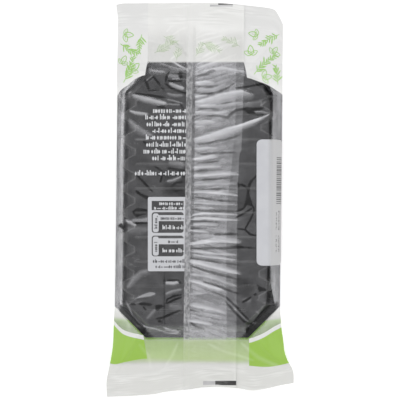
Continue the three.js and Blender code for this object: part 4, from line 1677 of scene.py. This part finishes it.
@dataclass
class BackSeam:
    """The two plies of the back seam, folded over to the right."""

    surface: PackSurface
    inks: InkColours
    groups: SurfaceGroups
    lift: float = 0.22
    rows: int = 600
    columns: int = 80
    grey_marks: Sequence[Box] = (Box(1.7, -101.8, 8.6, -99.6), Box(5.5, 106.3, 18, 107.4))
    black_marks: Sequence[Box] = (Box(8.4, -101.9, 19.9, -99.4), Box(10, 107.2, 18.2, 108.4))

    def ply(self, name: str, start: float, edge: Pairs, lift: float) -> Piece:
        """One ply, from the root to its own free edge.

        Args:
            name: the piece's name.
            start: how far right of the root's left edge it begins.
            edge: its free edge, as places across for places along.
            lift: its height over the back film.

        Returns:
            The ply.
        """
        shape, seam = self.surface.shape, self.surface.seam
        row = np.linspace(-shape.cut_length + 0.3, shape.cut_length - 0.3, self.rows)[:, None]
        low, high = seam.root(row)
        share = np.linspace(0, 1, self.columns)[None, :]
        x = lerp(low + start, through(edge, row), share)
        row = np.broadcast_to(row, x.shape)
        free = smoothstep(share, 0.9, 1)
        z = self.surface.back(x, row) + lift * smoothstep(share, 0, 0.03) + 0.12 * free
        y = shape.follow_cut(x, row)
        piece = grid_mesh(name, x, y, z)
        # The plies' painted highlights and shade, and the whitening that is partly painted light.
        set_field(piece, "painted_light", np.clip(self.surface.relief(x, row)[1], -0.5, 1.2))
        set_field(piece, "veil_and_painted_light", self.surface.veil_and_painted_light(0, y))
        set_uv(piece, x, y)
        set_field(piece, "root", (x - low) / (high - low))
        return piece

    def build(self) -> list[Piece]:
        """Makes the narrow ply and the wide one over it."""
        seam = self.surface.seam
        return [
            self.ply("seam_ply_narrow", 0.4, seam.narrow_edge, self.lift),
            self.ply("seam_ply_wide", 0, seam.wide_edge, 2 * self.lift),
        ]

    def ink(self, g: Graph) -> tuple[Any, Any]:
        """The whitened film along the seam's root, with lighter edges, and the eye marks at both ends."""
        grain = g.step(g.noise(g.object_place((1, 0.6, 1)), 620, 3, 0.65), 0.36, 0.66)
        share = g.attribute("root")
        inside = g.less(g.step(share, 0, 0.1), g.step(share, 0.9, 1))
        inside = g.times(inside, g.rest(g.step(g.attribute("veil_and_painted_light"), 0.05, 0.3)))
        cover = g.times(inside, 0.5)
        for middle, half, strength in ((0.1, 0.1, 0.2), (0.92, 0.1, 0.14)):
            off = g.math("ABSOLUTE", g.less(share, middle))
            line = g.rest(g.step(off, 0.3 * half, half))
            cover = g.scaled(g.times(line, grain), strength, cover)
        colour: Any = g.mix(grain, paint(112, 112, 114), paint(205, 205, 207))
        # The root takes the whitening's near white towards the ends, partly as painted light.
        colour = g.mix(g.attribute("veil_and_painted_light"), colour, paint(236, 236, 234))
        place = g.flat_place()
        for boxes, tone in ((self.grey_marks, self.inks.grey), (self.black_marks, self.inks.black)):
            for box in boxes:
                mask = box.mask(g, self.groups, place)
                colour = g.mix(mask, colour, tone)
                cover = g.most(cover, g.times(mask, 0.97))
        return colour, cover

    def dress(self, plies: Sequence[Piece]) -> None:
        """Gives the plies their milky film, with painted highlights and shade on its folds."""
        narrow, wide = plies
        milky = FilmFinish("seam_film_narrow", haze=0.19, painted_fold_highlight=0.46, painted_contact_shade=0.2, roughness=0.28)
        finish_piece(narrow, Slot.FILM, milky.material())
        finish = FilmFinish("seam_film_wide", haze=0.13, painted_fold_highlight=0.4, painted_contact_shade=0.14, roughness=0.28)
        finish_piece(wide, Slot.FILM, finish.material(self.ink))


# The tray and the chives.


@dataclass
class Tray:
    """The black tray: an eight-sided dish with a flat rim, upside down.

    Sizes are in millimetres. The methods' x and y are places across and along.
    """

    shape: PackShape
    rim_half_width: float = 45.45
    rim_half_length: float = 75.8
    rim_corner: float = 17.2
    rim_width: float = 2.6
    rim_height: float = 0.75
    base_height: float = 18
    wall_run: float = 4.2
    corner_shift: float = 1.8
    thickness: float = 0.5
    rib_pitch: float = 13.3
    rib_start: float = 6.3
    rib_depth: float = 4.6
    rib_half_width: float = 3.4
    row_step: float = 0.46
    column_bends: Sequence[float] = (-1, -0.9, -0.68, 0.68, 0.9, 1)
    columns_between: Sequence[int] = (9, 40, 42, 40, 9)

    def side_distances(self, x: Array, y: Array) -> tuple[Array, Array]:
        """How far inside the rim a place lies: from the nearest straight side and the nearest slanted one."""
        straight = np.minimum(self.rim_half_width - np.abs(x), self.rim_half_length - np.abs(y))
        reach = self.rim_half_width + self.rim_half_length - self.rim_corner
        return straight, (reach - np.abs(x) - np.abs(y)) / math.sqrt(2)

    def rim_distance(self, x: Array, y: Array) -> Array:
        """How far inside the rim's eight-sided outline a place lies."""
        return np.minimum(*self.side_distances(x, y))

    def from_rib(self, y: Array) -> Array:
        """The distance along the tray from the nearest rib."""
        return (y - self.rib_start + 0.5 * self.rib_pitch) % self.rib_pitch - 0.5 * self.rib_pitch

    def notch_inside(self, x: Array, y: Array) -> Array:
        """How far inside the nearest notch's straight-sided outline a place lies."""
        across = np.abs(self.from_rib(y + 0.5 * self.rib_pitch))
        inward = self.rim_distance(x, y) - self.rim_width - self.wall_run
        side = 0.92 * (self.rib_half_width - 0.42 * inward - across)
        return np.minimum(side, self.rib_depth - inward)

    def notch(self, x: Array, y: Array) -> Array:
        """How much deeper the wall lies in the notches along both long sides."""
        long_side = smoothstep(self.rim_half_length - np.abs(y), 18, 22)
        return self.rib_depth * smoothstep(self.notch_inside(x, y), -0.3, 0.5) * long_side

    def height(self, x: Array, y: Array) -> Array:
        """The height of the tray's outer face, which is up."""
        straight, slanted = self.side_distances(x, y)
        steeper = self.corner_shift * smoothstep(straight - slanted, 0, 2)
        inward = np.minimum(straight, slanted) - self.rim_width - self.notch(x, y)
        rise = soft_minimum(np.clip((inward - steeper) / (self.wall_run - steeper), 0, None), 1, 0.2)
        wall = lerp(self.rim_height, self.base_height, np.clip(rise, 0, 1))
        line = np.exp(-((self.from_rib(y) / 0.35) ** 2))
        groove = 0.3 * line * smoothstep(inward, self.wall_run + 4, self.wall_run + 5.5)
        panel = 0.12 * smoothstep(inward, self.wall_run + 7, self.wall_run + 8)
        return wall + groove * (np.abs(y) < 62) - panel

    def build(self) -> Piece:
        """Makes the tray as one closed shell."""
        rows = int(2 * self.rim_half_length / self.row_step)
        column = np.concatenate([[0], np.cumsum(self.columns_between)])
        y = np.linspace(-self.rim_half_length, self.rim_half_length, rows)[:, None]
        reach = self.rim_half_width + self.rim_half_length - self.rim_corner
        half = np.minimum(self.rim_half_width, reach - np.abs(y))
        x = half * np.interp(np.arange(column[-1] + 1), column, self.column_bends)[None, :]
        y = np.broadcast_to(y, x.shape)
        outer = self.height(x, y)
        slope = np.clip(self.rim_distance(x, y) / self.rim_width, 0, 1)
        inner = outer - self.thickness * (1 + 1.6 * band(self.rim_distance(x, y), 3, 6.5, 1) * slope)
        inner = np.maximum(inner, 0.3)
        piece = closed_sheet("tray", *((self.leaned(x, y, face), y, face) for face in (outer, inner)))
        # Where highlights are painted along the sharp bends.
        set_field(piece, "edge", np.concatenate([self.edges(x, y).ravel(), np.zeros(x.size)]))
        set_field(piece, "wall", np.tile(band(outer, 1.6, self.base_height - 1, 1.2).ravel(), 2))
        return piece

    def leaned(self, x: Array, y: Array, z: Array) -> Array:
        """Moves places across to where the tray lies: turned a little, and with its base off to a side."""
        shape = self.shape
        return x + lerp(shape.tray_middle, shape.base_middle, z / self.base_height) + shape.tilt * y

    def edges(self, x: Array, y: Array) -> Array:
        """Painted highlights on the sharp bends: the notches' outlines and the ribs across the base."""
        inward = self.rim_distance(x, y) - self.rim_width - self.wall_run
        outline = np.exp(-((self.notch_inside(x, y) / 0.32) ** 2)) * (inward > 0.6) * (np.abs(y) < 55)
        across = np.exp(-((self.from_rib(y) / 0.3) ** 2)) * smoothstep(inward, 4.2, 5) * (np.abs(y) < 40)
        return 0.45 * outline + 0.35 * across

    def dress(self, piece: Piece, groups: SurfaceGroups) -> None:
        """Gives the tray its black plastic, with painted highlights along its sharp bends."""
        material, g, shader = new_material("tray_black_plastic")
        speckle = groups.speckled(g, 180, 1400)
        tone = g.step(speckle.outputs["Tone"], 0.3, 0.7)
        plain = g.mix(tone, (0.008, 0.008, 0.009, 1), (0.015, 0.015, 0.016, 1))
        rough = g.scaled(g.attribute("wall"), 0.36, g.scaled(tone, 0.08, 0.24))
        # Painted highlights along the notches' outlines and the ribs, lighter grey on the black.
        colour = g.mix(g.attribute("edge"), plain, (0.2, 0.2, 0.205, 1))
        g.fill(shader, {"Base Color": colour, "Roughness": rough})
        g.bump(shader, speckle.outputs["Height"], 0.25, 0.0002)
        finish_piece(piece, Slot.TRAY, material)


@dataclass
class Chives:
    """Green stalks, side by side in the tray. They are seen through the front's clear window only."""

    layers: Sequence[float] = (2.7, 4.9, 7.1)
    pitch: float = 1.95
    half_spread: float = 31.5
    stalk_length: float = 138
    floor_length: float = 132
    corner_reach: float = 89
    seed: int = 5

    @staticmethod
    def stalk(name: str, bend: float, radius: float, tip: float) -> Piece:
        """One stalk of unit length along Y, with a taper at one end.

        Args:
            name: the shape's name.
            bend: how far its middle lies off the straight line, in millimetres.
            radius: its radius in millimetres.
            tip: the share of its length that narrows.

        Returns:
            The shape.
        """
        t = np.linspace(0, 1, 29)[:, None]
        turn = np.linspace(0, math.tau, 9)[None, :-1]
        thick = radius * (0.25 + 0.75 * (1 - np.clip((t - 1 + tip) / tip, 0, 1) ** 2))
        x = bend * np.sin(math.pi * t) + thick * np.cos(turn)
        z = 0.4 * bend * np.sin(2.3 * math.pi * t) + thick * np.sin(turn)
        y = np.broadcast_to(t - 0.5, x.shape)
        points = np.stack([x, y, z], axis=-1).reshape(-1, 3)
        rings, sides = len(t), turn.shape[1]
        r, c = np.meshgrid(np.arange(rings - 1), np.arange(sides), indexing="ij")
        first, second = (r * sides + c).ravel(), (r * sides + (c + 1) % sides).ravel()
        faces = np.stack([first, second, second + sides, first + sides], axis=1)
        return make_mesh(name, points, faces[:, ::-1])

    def build(self, scatter: Scatter, material: Material) -> Piece:
        """Lays the stalks in layers."""
        random = np.random.default_rng(self.seed)
        points = Points()
        for layer, height in enumerate(self.layers):
            middles = np.arange(-self.half_spread, self.half_spread, self.pitch)
            for x in middles + 0.5 * (layer % 2) * self.pitch:
                room = 2 * (self.corner_reach - abs(x))
                length = min(self.stalk_length * random.uniform(0.9, 1), room)
                slide = random.uniform(-0.5, 0.5) * max(min(self.floor_length, room) - length, 0)
                roll = random.uniform(-0.9, 0.9) + math.pi * random.integers(0, 2)
                aside = random.uniform(-0.02, 0.02)
                place = (x + random.uniform(-0.4, 0.4), slide, height + random.uniform(-0.3, 0.3))
                points.places.append(place)
                points.turns.append((0 if random.random() < 0.6 else math.pi, roll, aside))
                points.sizes.append((1, length, 1))
                points.kinds.append(int(random.integers(0, 3)))
        shapes = [
            self.stalk("stalk_a", 0.8, 1.12, 0.3),
            self.stalk("stalk_b", -0.6, 1, 0.42),
            self.stalk("stalk_c", 0.4, 1.22, 0.2),
        ]
        piece = scatter.make("chives", points, shapes, material)
        for shape in shapes:
            bpy.data.objects.remove(shape)
        return piece

    @staticmethod
    def material() -> Material:
        """Deep green with fine lines along each stalk and a waxy sheen."""
        material, g, shader = new_material("chive_green")
        lines = g.noise(g.object_place((1, 0.03, 1)), 1500, 3, 0.6)
        patches = g.noise(g.object_place((1, 0.15, 1)), 160, 2, 0.5)
        fine = g.mix(g.step(lines, 0.3, 0.7), paint(52, 96, 36), paint(96, 142, 66))
        colour = g.mix(g.step(patches, 0.45, 0.75), fine, paint(120, 160, 78))
        g.fill(shader, {"Base Color": colour, "Roughness": 0.38})
        g.bump(shader, lines, 0.3, 0.0002)
        return material


# The sticker and the print.


@dataclass
class Sticker:
    """The paper sticker that goes from the back over the right-hand side."""

    surface: PackSurface
    outer_lift: float = 0.5
    inner_lift: float = 0.24
    rows: int = 170
    columns: int = 80
    code_low: float = -2.6
    code_high: float = 23.7
    code_start: float = 46.8
    code_depth: float = 9
    speck_size: Sequence[float] = (0.8, 0.34, 1)
    speck_rows: Pairs = ((46.4, 48), (50.8, 53.2))
    speck_zones: Pairs = ((-16.5, -5.8), (-28.5, -19.5))
    bar_pitch: float = 1.04

    def profile(self, u: Array, y: Array) -> tuple[Array, Array]:
        """Bends the flat sticker round the pack's edge.

        Args:
            u: places across, measured along the film.
            y: places along.

        Returns:
            The real places across, and the film's height there.
        """
        shape = self.surface.shape
        top, half = shape.top_edge(u, y), through(shape.right_edge, y)
        wall = np.hypot(half - top, shape.tray_height - shape.rim_height)
        x = np.where(u < top, u, top + (u - top) / wall * (half - top))
        return x, self.surface.back(x, y)

    def build(self) -> Piece:
        """Makes the sticker as one closed sheet."""
        place, shape = self.surface.sticker, self.surface.shape
        y = np.linspace(place.low, place.high, self.rows)[:, None]
        near = np.minimum(np.minimum(y - place.low, place.high - y), place.corner)
        inset = place.corner - np.sqrt(np.maximum(place.corner**2 - (place.corner - near) ** 2, 0))
        wall = math.hypot(shape.tray_half_width - shape.base_half_width, shape.tray_height - shape.rim_height)
        last = shape.base_half_width + shape.base_middle + wall - place.foot
        u = lerp(place.start + inset, last - inset, np.linspace(0, 1, self.columns)[None, :])
        y = np.broadcast_to(y, u.shape)
        x, z = self.profile(u, y)
        (x0, z0), (x1, z1) = self.profile(u - 0.4, y), self.profile(u + 0.4, y)
        dx, dz = x1 - x0, z1 - z0
        length = np.hypot(dx, dz)
        lifts = (self.outer_lift, self.inner_lift)
        layers = ((x - dz / length * lift, y, z + dx / length * lift) for lift in lifts)
        piece = closed_sheet("paper_sticker", *layers)
        set_uv(piece, np.concatenate([u.ravel()] * 2), np.concatenate([y.ravel()] * 2))
        return piece

    def marks(self, g: Graph) -> Socket:
        """A plain random row of bars on the wall, and small random specks below it."""
        flat = g.node("ShaderNodeUVMap", uv_map="flat").outputs[0]
        place = g.node("ShaderNodeSeparateXYZ", {0: flat})
        u, v = place.outputs[0], place.outputs[1]
        turns = g.math("DIVIDE", v, self.bar_pitch)
        bar = g.node("ShaderNodeTexWhiteNoise", {"W": g.math("FLOOR", turns)}, noise_dimensions="1D")
        thick = g.scaled(bar.outputs["Value"], 0.4, 0.35)
        bars = g.math("LESS_THAN", g.math("FRACT", turns), thick)
        bars = g.times(bars, g.between(v, self.code_low, self.code_high))
        bars = g.times(bars, g.between(u, self.code_start, self.code_start + self.code_depth))
        cells = g.node("ShaderNodeVectorMath", {0: flat, 1: self.speck_size}, operation="DIVIDE").outputs[0]
        whole = g.node("ShaderNodeVectorMath", {0: cells}, operation="FLOOR").outputs[0]
        speck = g.node("ShaderNodeTexWhiteNoise", {"Vector": whole}, noise_dimensions="2D").outputs["Value"]
        rows = g.plus(*(g.between(u, *limits) for limits in self.speck_rows))
        zones = g.plus(*(g.between(v, *limits) for limits in self.speck_zones))
        specks = g.times(g.math("GREATER_THAN", speck, 0.6), g.times(rows, zones))
        return g.most(bars, specks)

    def dress(self, piece: Piece, groups: SurfaceGroups) -> None:
        """Gives the sticker its printed paper, with painted shade on the part over the side wall."""
        material, g, shader = new_material("sticker_printed_paper")
        speckle = groups.speckled(g, 90, 1800)
        tone = g.step(speckle.outputs["Tone"], 0.25, 0.75)
        paper = g.mix(tone, paint(200, 201, 206), paint(207, 208, 212))
        # Painted shade where the sticker bends down over the side wall.
        over = g.step(g.flat_place().outputs[0], 36.4, 39.6)
        paper = g.mix(over, paper, paint(183, 183, 184))
        colour = g.mix(g.times(self.marks(g), 0.92), paper, paint(48, 47, 49))
        g.fill(shader, {"Base Color": colour, "Roughness": 0.5})
        g.bump(shader, speckle.outputs["Height"], 0.08, 0.0002)
        finish_piece(piece, Slot.PAPER, material, ["side_sticker"])


@dataclass(frozen=True)
class MarkRow:
    """A row of plain marks in the place of words, in millimetres."""

    left: float
    right: float
    middle: float
    height: float = 2.8
    turned: bool = False


@dataclass(frozen=True)
class Sprig:
    """A generic printed herb sprig: where it starts, where it points (in degrees) and how long it is."""

    foot: tuple[float, float]
    heading: float
    length: float
    bend: float = 18


@dataclass
class Print:
    """All small print that is laid on the film as thin ink."""

    scatter: Scatter
    stamps: Stamps
    groups: SurfaceGroups
    inks: InkColours
    lift: float = 0.07
    seam_lift: float = 0.64
    seed: int = 3
    widths: Sequence[float] = (1, 0.46, 0.45)
    steps: Sequence[float] = (0.3, 0.47, 0.48)
    word_gap: float = 0.6
    stem_step: float = 0.7
    address: Sequence[MarkRow] = listed(
        MarkRow,
        (-25.3, -5.8, 48.8), (-29.5, -5.8, 45.3), (-28.6, -5.8, 41.5), (-25.9, -5.8, 37.9),
        (-29.2, -5.8, 34.3), (-28.8, -5.8, 30.4), (-30.5, -5.9, 26.7), (-25.5, -5.9, 23),
        (-35, -4.3, 14.8),
    )
    table_white: Sequence[MarkRow] = listed(
        MarkRow,
        (-22, -10.2, -1.8, 2), (-24.8, -8.9, -4.2, 2), (-20.2, -8.8, -14.8, 2.3),
        (-20.2, -9.2, -27.4, 2.3),
    )
    table_grey: Sequence[MarkRow] = listed(
        MarkRow,
        (-21.2, -8.6, -9.85, 2), (-17.2, -11.8, -22.5, 2), (-15.4, -9.3, -24.1, 1.7, True),
        (-27.9, -22.7, -24.1, 1.7, True), (-25.3, -8.6, -33.2, 2.1), (-23.9, -8.6, -36.1, 2.1),
    )
    sprigs: Sequence[Sprig] = listed(
        Sprig,
        ((-42, 64.5), 66, 16), ((-43.8, 86), -34, 12), ((-32, 91), -100, 11),
        ((29.5, 68.5), 46, 17, -24), ((43.6, 91), 206, 13), ((42.8, 63.5), 96, 11),
    )
    leaves: Sequence[Sprig] = listed(
        Sprig,
        ((-37.5, 71), 40, 5, 58), ((-43, 75), 62, 4.8, 60),
        ((-41.5, 91), -5, 5, 70), ((28, 79.5), 95, 5, 62), ((31.5, 90.5), 165, 4.8, 64),
        ((34.5, 67), 10, 5, 60), ((40, 80.5), 55, 4.6, 66),
    )
    pale_sprigs: Sequence[Sprig] = listed(
        Sprig,
        ((-25, 80.5), 28, 13), ((-20, 90), -30, 9), ((-13, 76), 78, 8),
    )
    seam_sprigs: Sequence[Sprig] = listed(
        Sprig,
        ((1, 86.5), -28, 12), ((22, 84), 152, 11), ((-2.5, 78.5), 58, 9),
    )
    front_sprigs: Sequence[Sprig] = listed(
        Sprig,
        ((-30, 62), 50, 17), ((-10, 88), -40, 16), ((12, 66), 70, 17),
        ((32, 88), 215, 15), ((36, 62), 95, 12), ((-38, 86), -60, 13),
        ((-12, 62), 20, 13), ((22, 90), -80, 12),
    )

    def mark_points(self, rows: Sequence[MarkRow]) -> Points:
        """Sets plain bars, blobs and dashes along rows, with gaps as between words.

        Args:
            rows: where the rows lie.

        Returns:
            A point for each mark.
        """
        random = np.random.default_rng(self.seed)
        points = Points()
        for row in rows:
            at, left_in_word = row.left, int(random.integers(3, 8))
            while at < row.right:
                kind = int(random.choice((0, 0, 0, 1, 1, 2)))
                tall = random.choice((0.72, 0.72, 1))
                size = (self.widths[kind] * row.height, (tall, 0.72, 1.2)[kind] * row.height)
                base = row.middle - row.height / 2 + (0.3 * row.height if kind == 2 else 0)
                place = (row.middle + row.height / 2, at) if row.turned else (at, base)
                points.add(place, math.pi / 2 if row.turned else 0, size, kind)
                at += self.steps[kind] * row.height
                left_in_word -= 1
                if left_in_word == 0:
                    at, left_in_word = at + self.word_gap, int(random.integers(4, 10))
        return points

    def sprig_points(self, sprigs: Sequence[Sprig], leaves: Sequence[Sprig] = ()) -> Points:
        """Sets dashes along each stem, uneven needles on both sides of it, and tufts of leaves.

        Args:
            sprigs: the stems.
            leaves: the tufts, whose bend is the angle between their leaves.

        Returns:
            A point for each dash, needle and leaf.
        """
        random, points = np.random.default_rng(4), Points()
        for sprig in sprigs:
            (x, y), steps = sprig.foot, int(sprig.length / self.stem_step)
            for i in range(steps):
                share = i / steps
                angle = math.radians(sprig.heading + sprig.bend * (share - 0.3))
                points.add((x, y), angle, (0.9, 1.8), 2)
                if share > 0.1:
                    long = (4.4 - 2.4 * share) * random.uniform(0.6, 1.15)
                    turn = (-1) ** i * random.uniform(0.45, 1)
                    points.add((x, y), angle + turn, (long, 1.6 + 0.3 * long), 0)
                x, y = x + self.stem_step * math.cos(angle), y + self.stem_step * math.sin(angle)
        for tuft in leaves:
            for turn, part in ((-tuft.bend, 0.85), (0, 1), (tuft.bend, 0.8)):
                angle, long = math.radians(tuft.heading + turn), part * tuft.length
                points.add(tuft.foot, angle, (long, 1.15 * long), 1)
                points.add(tuft.foot, angle, (0.7 * long, 1), 2)
        return points

    def marks(self, name: str, rows: Sequence[MarkRow], ink: Material) -> Piece:
        """A flat piece of plain marks."""
        shapes = (self.stamps.bar, self.stamps.blob, self.stamps.dash)
        return self.scatter.make(name, self.mark_points(rows), shapes, ink, (0.93, 1.05), self.seed)

    def motifs(self, name: str, points: Points, ink: Material) -> Piece:
        """A flat piece of herb motifs."""
        shapes = (self.stamps.needle, self.stamps.leaf, self.stamps.dash)
        return self.scatter.make(name, points, shapes, ink, (0.85, 1.1), self.seed)

    def build(self, ground: Ground, surface: PackSurface) -> list[Piece]:
        """Makes all print and lays it on the film.

        Args:
            ground: the back film.
            surface: the wrap's form, for the front film.

        Returns:
            The pieces.
        """
        finishes = (
            InkFinish("ink_white", paint(222, 223, 226)), InkFinish("ink_grey", paint(92, 92, 95)),
            InkFinish("ink_motif_green", self.inks.motif),
            InkFinish("ink_motif_pale", paint(165, 210, 110), 0.2),
        )
        white, grey, green, pale = (finish.material(self.groups) for finish in finishes)
        pieces = [
            self.marks("print_address", self.address, white),
            self.marks("print_table_white", self.table_white, white),
            self.marks("print_table_grey", self.table_grey, grey),
            self.motifs("print_herbs_back", self.sprig_points(self.sprigs, self.leaves), green),
            self.motifs("print_herbs_pale", self.sprig_points(self.pale_sprigs), pale),
            self.motifs("print_herbs_seam", self.sprig_points(self.seam_sprigs), pale),
        ]
        for piece in pieces:
            ground.lay(piece, self.seam_lift if piece.name == "print_herbs_seam" else self.lift)
        front = self.motifs("print_herbs_front", self.sprig_points(self.front_sprigs), green)
        points = corners_of(front.data)
        points[:, 2] = surface.front(points[:, 0], surface.shape.even_row(points[:, 0], points[:, 1])) - 0.06
        place_corners(front.data, points)
        return [*pieces, front]

    def dress(self, pieces: Sequence[Piece]) -> None:
        """Puts the ink pieces under the body's empty, and logs them."""
        for piece in pieces:
            finish_piece(piece, Slot.INK)


# The studio.


@dataclass
class Studio:
    """A pale floor, soft light from all round and the camera straight above."""

    frame_width: float = 220
    camera_height: float = 1500
    focus_height: float = 4
    sensor: float = 36

    def camera(self) -> None:
        """Looks straight down, so that the frame takes in `frame_width`."""
        data = bpy.data.cameras.new("camera")
        data.sensor_width = self.sensor
        data.lens = self.sensor * (self.camera_height - self.focus_height) / self.frame_width
        data.clip_start, data.clip_end = 0.1, 20
        made = link("camera", data)
        made.location = (0, 0, self.camera_height * MM)
        bpy.context.scene.camera = made

    def light(self, name: str, place: Sequence[float], size: Sequence[float], power: float) -> None:
        """A soft box that faces the pack.

        Args:
            name: the lamp's name.
            place: where it stands, in metres.
            size: its width and height, in metres.
            power: how strong it is, in watts.
        """
        data = bpy.data.lights.new(name, "AREA")
        data.shape = "RECTANGLE"
        data.size, data.size_y = size
        data.energy = power
        made = link(name, data)
        made.location = place
        made.rotation_mode = "QUATERNION"
        made.rotation_quaternion = made.location.to_track_quat("Z", "Y")
        made.visible_camera = False

    def world(self) -> None:
        """A pale surround that is darker overhead."""
        world = bpy.data.worlds.new("surround")
        world.use_nodes = True
        g = Graph(world.node_tree)
        direction = g.node("ShaderNodeTexCoord").outputs["Generated"]
        up = g.node("ShaderNodeSeparateXYZ", {0: direction}).outputs[2]
        side = g.rest(g.step(up, 0.25, 0.95))
        strength = g.scaled(side, 0.7, 0.25)
        background = g.node("ShaderNodeBackground", {"Color": (1, 1, 1, 1), "Strength": strength})
        g.put(g.node("ShaderNodeOutputWorld").inputs["Surface"], background.outputs[0])
        bpy.context.scene.world = world

    def floor(self) -> None:
        """A wide pale floor."""
        size = 4000
        corners = np.array([[-size, -size, 0], [size, -size, 0], [size, size, 0], [-size, size, 0]])
        piece = make_mesh("floor", corners, np.array([[0, 1, 2, 3]]), smooth=False)
        material, g, shader = new_material("floor_pale")
        g.fill(shader, {"Base Color": (0.9, 0.9, 0.9, 1), "Roughness": 0.9})
        g.fill(shader, {"Emission Color": (1, 1, 1, 1), "Emission Strength": 0.36})
        piece.data.materials.append(material)
        piece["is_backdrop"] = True

    def build(self) -> None:
        """Sets the whole studio."""
        bpy.context.scene.view_settings.view_transform = "Standard"
        self.camera()
        self.world()
        self.floor()
        reach, height, size = 0.95, 1.25, (1.5, 1.2)
        self.light("soft_box_left", (-reach, 0, height), size, 1.9)
        self.light("soft_box_right", (reach, 0, height), size, 1.9)
        self.light("soft_box_far", (0, reach, height), size, 7.6)
        self.light("soft_box_near", (0, -reach, height), size, 5.2)


def main() -> None:
    """Builds every piece in order and reports it."""
    logging.basicConfig(level=logging.INFO, format="%(name)s: %(message)s")
    Studio().build()
    shape, seam, sticker = PackShape(), Seam(), StickerPlace()
    surface = PackSurface(shape, seam, Wrinkles(shape, seam), sticker)
    groups = SurfaceGroups()
    inks = InkColours()

    wrap = FilmWrap(surface, inks, groups)
    wrap.dress(*wrap.build())
    back_seam = BackSeam(surface, inks, groups)
    back_seam.dress(back_seam.build())
    tray = Tray(shape)
    tray.dress(tray.build(), groups)
    scatter = Scatter()
    finish_piece(Chives().build(scatter, Chives.material()), Slot.STALKS)
    paper = Sticker(surface)
    paper.dress(paper.build(), groups)
    stamps = Stamps()
    small_print = Print(scatter, stamps, groups, inks)
    small_print.dress(small_print.build(wrap.ground, surface))
    stamps.remove()

    boxes = {"cad": CAD_BOX, "visual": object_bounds()}
    {name: [list(corner) for corner in box] for name, box in boxes.items()}


if __name__ == "__main__":
    main()
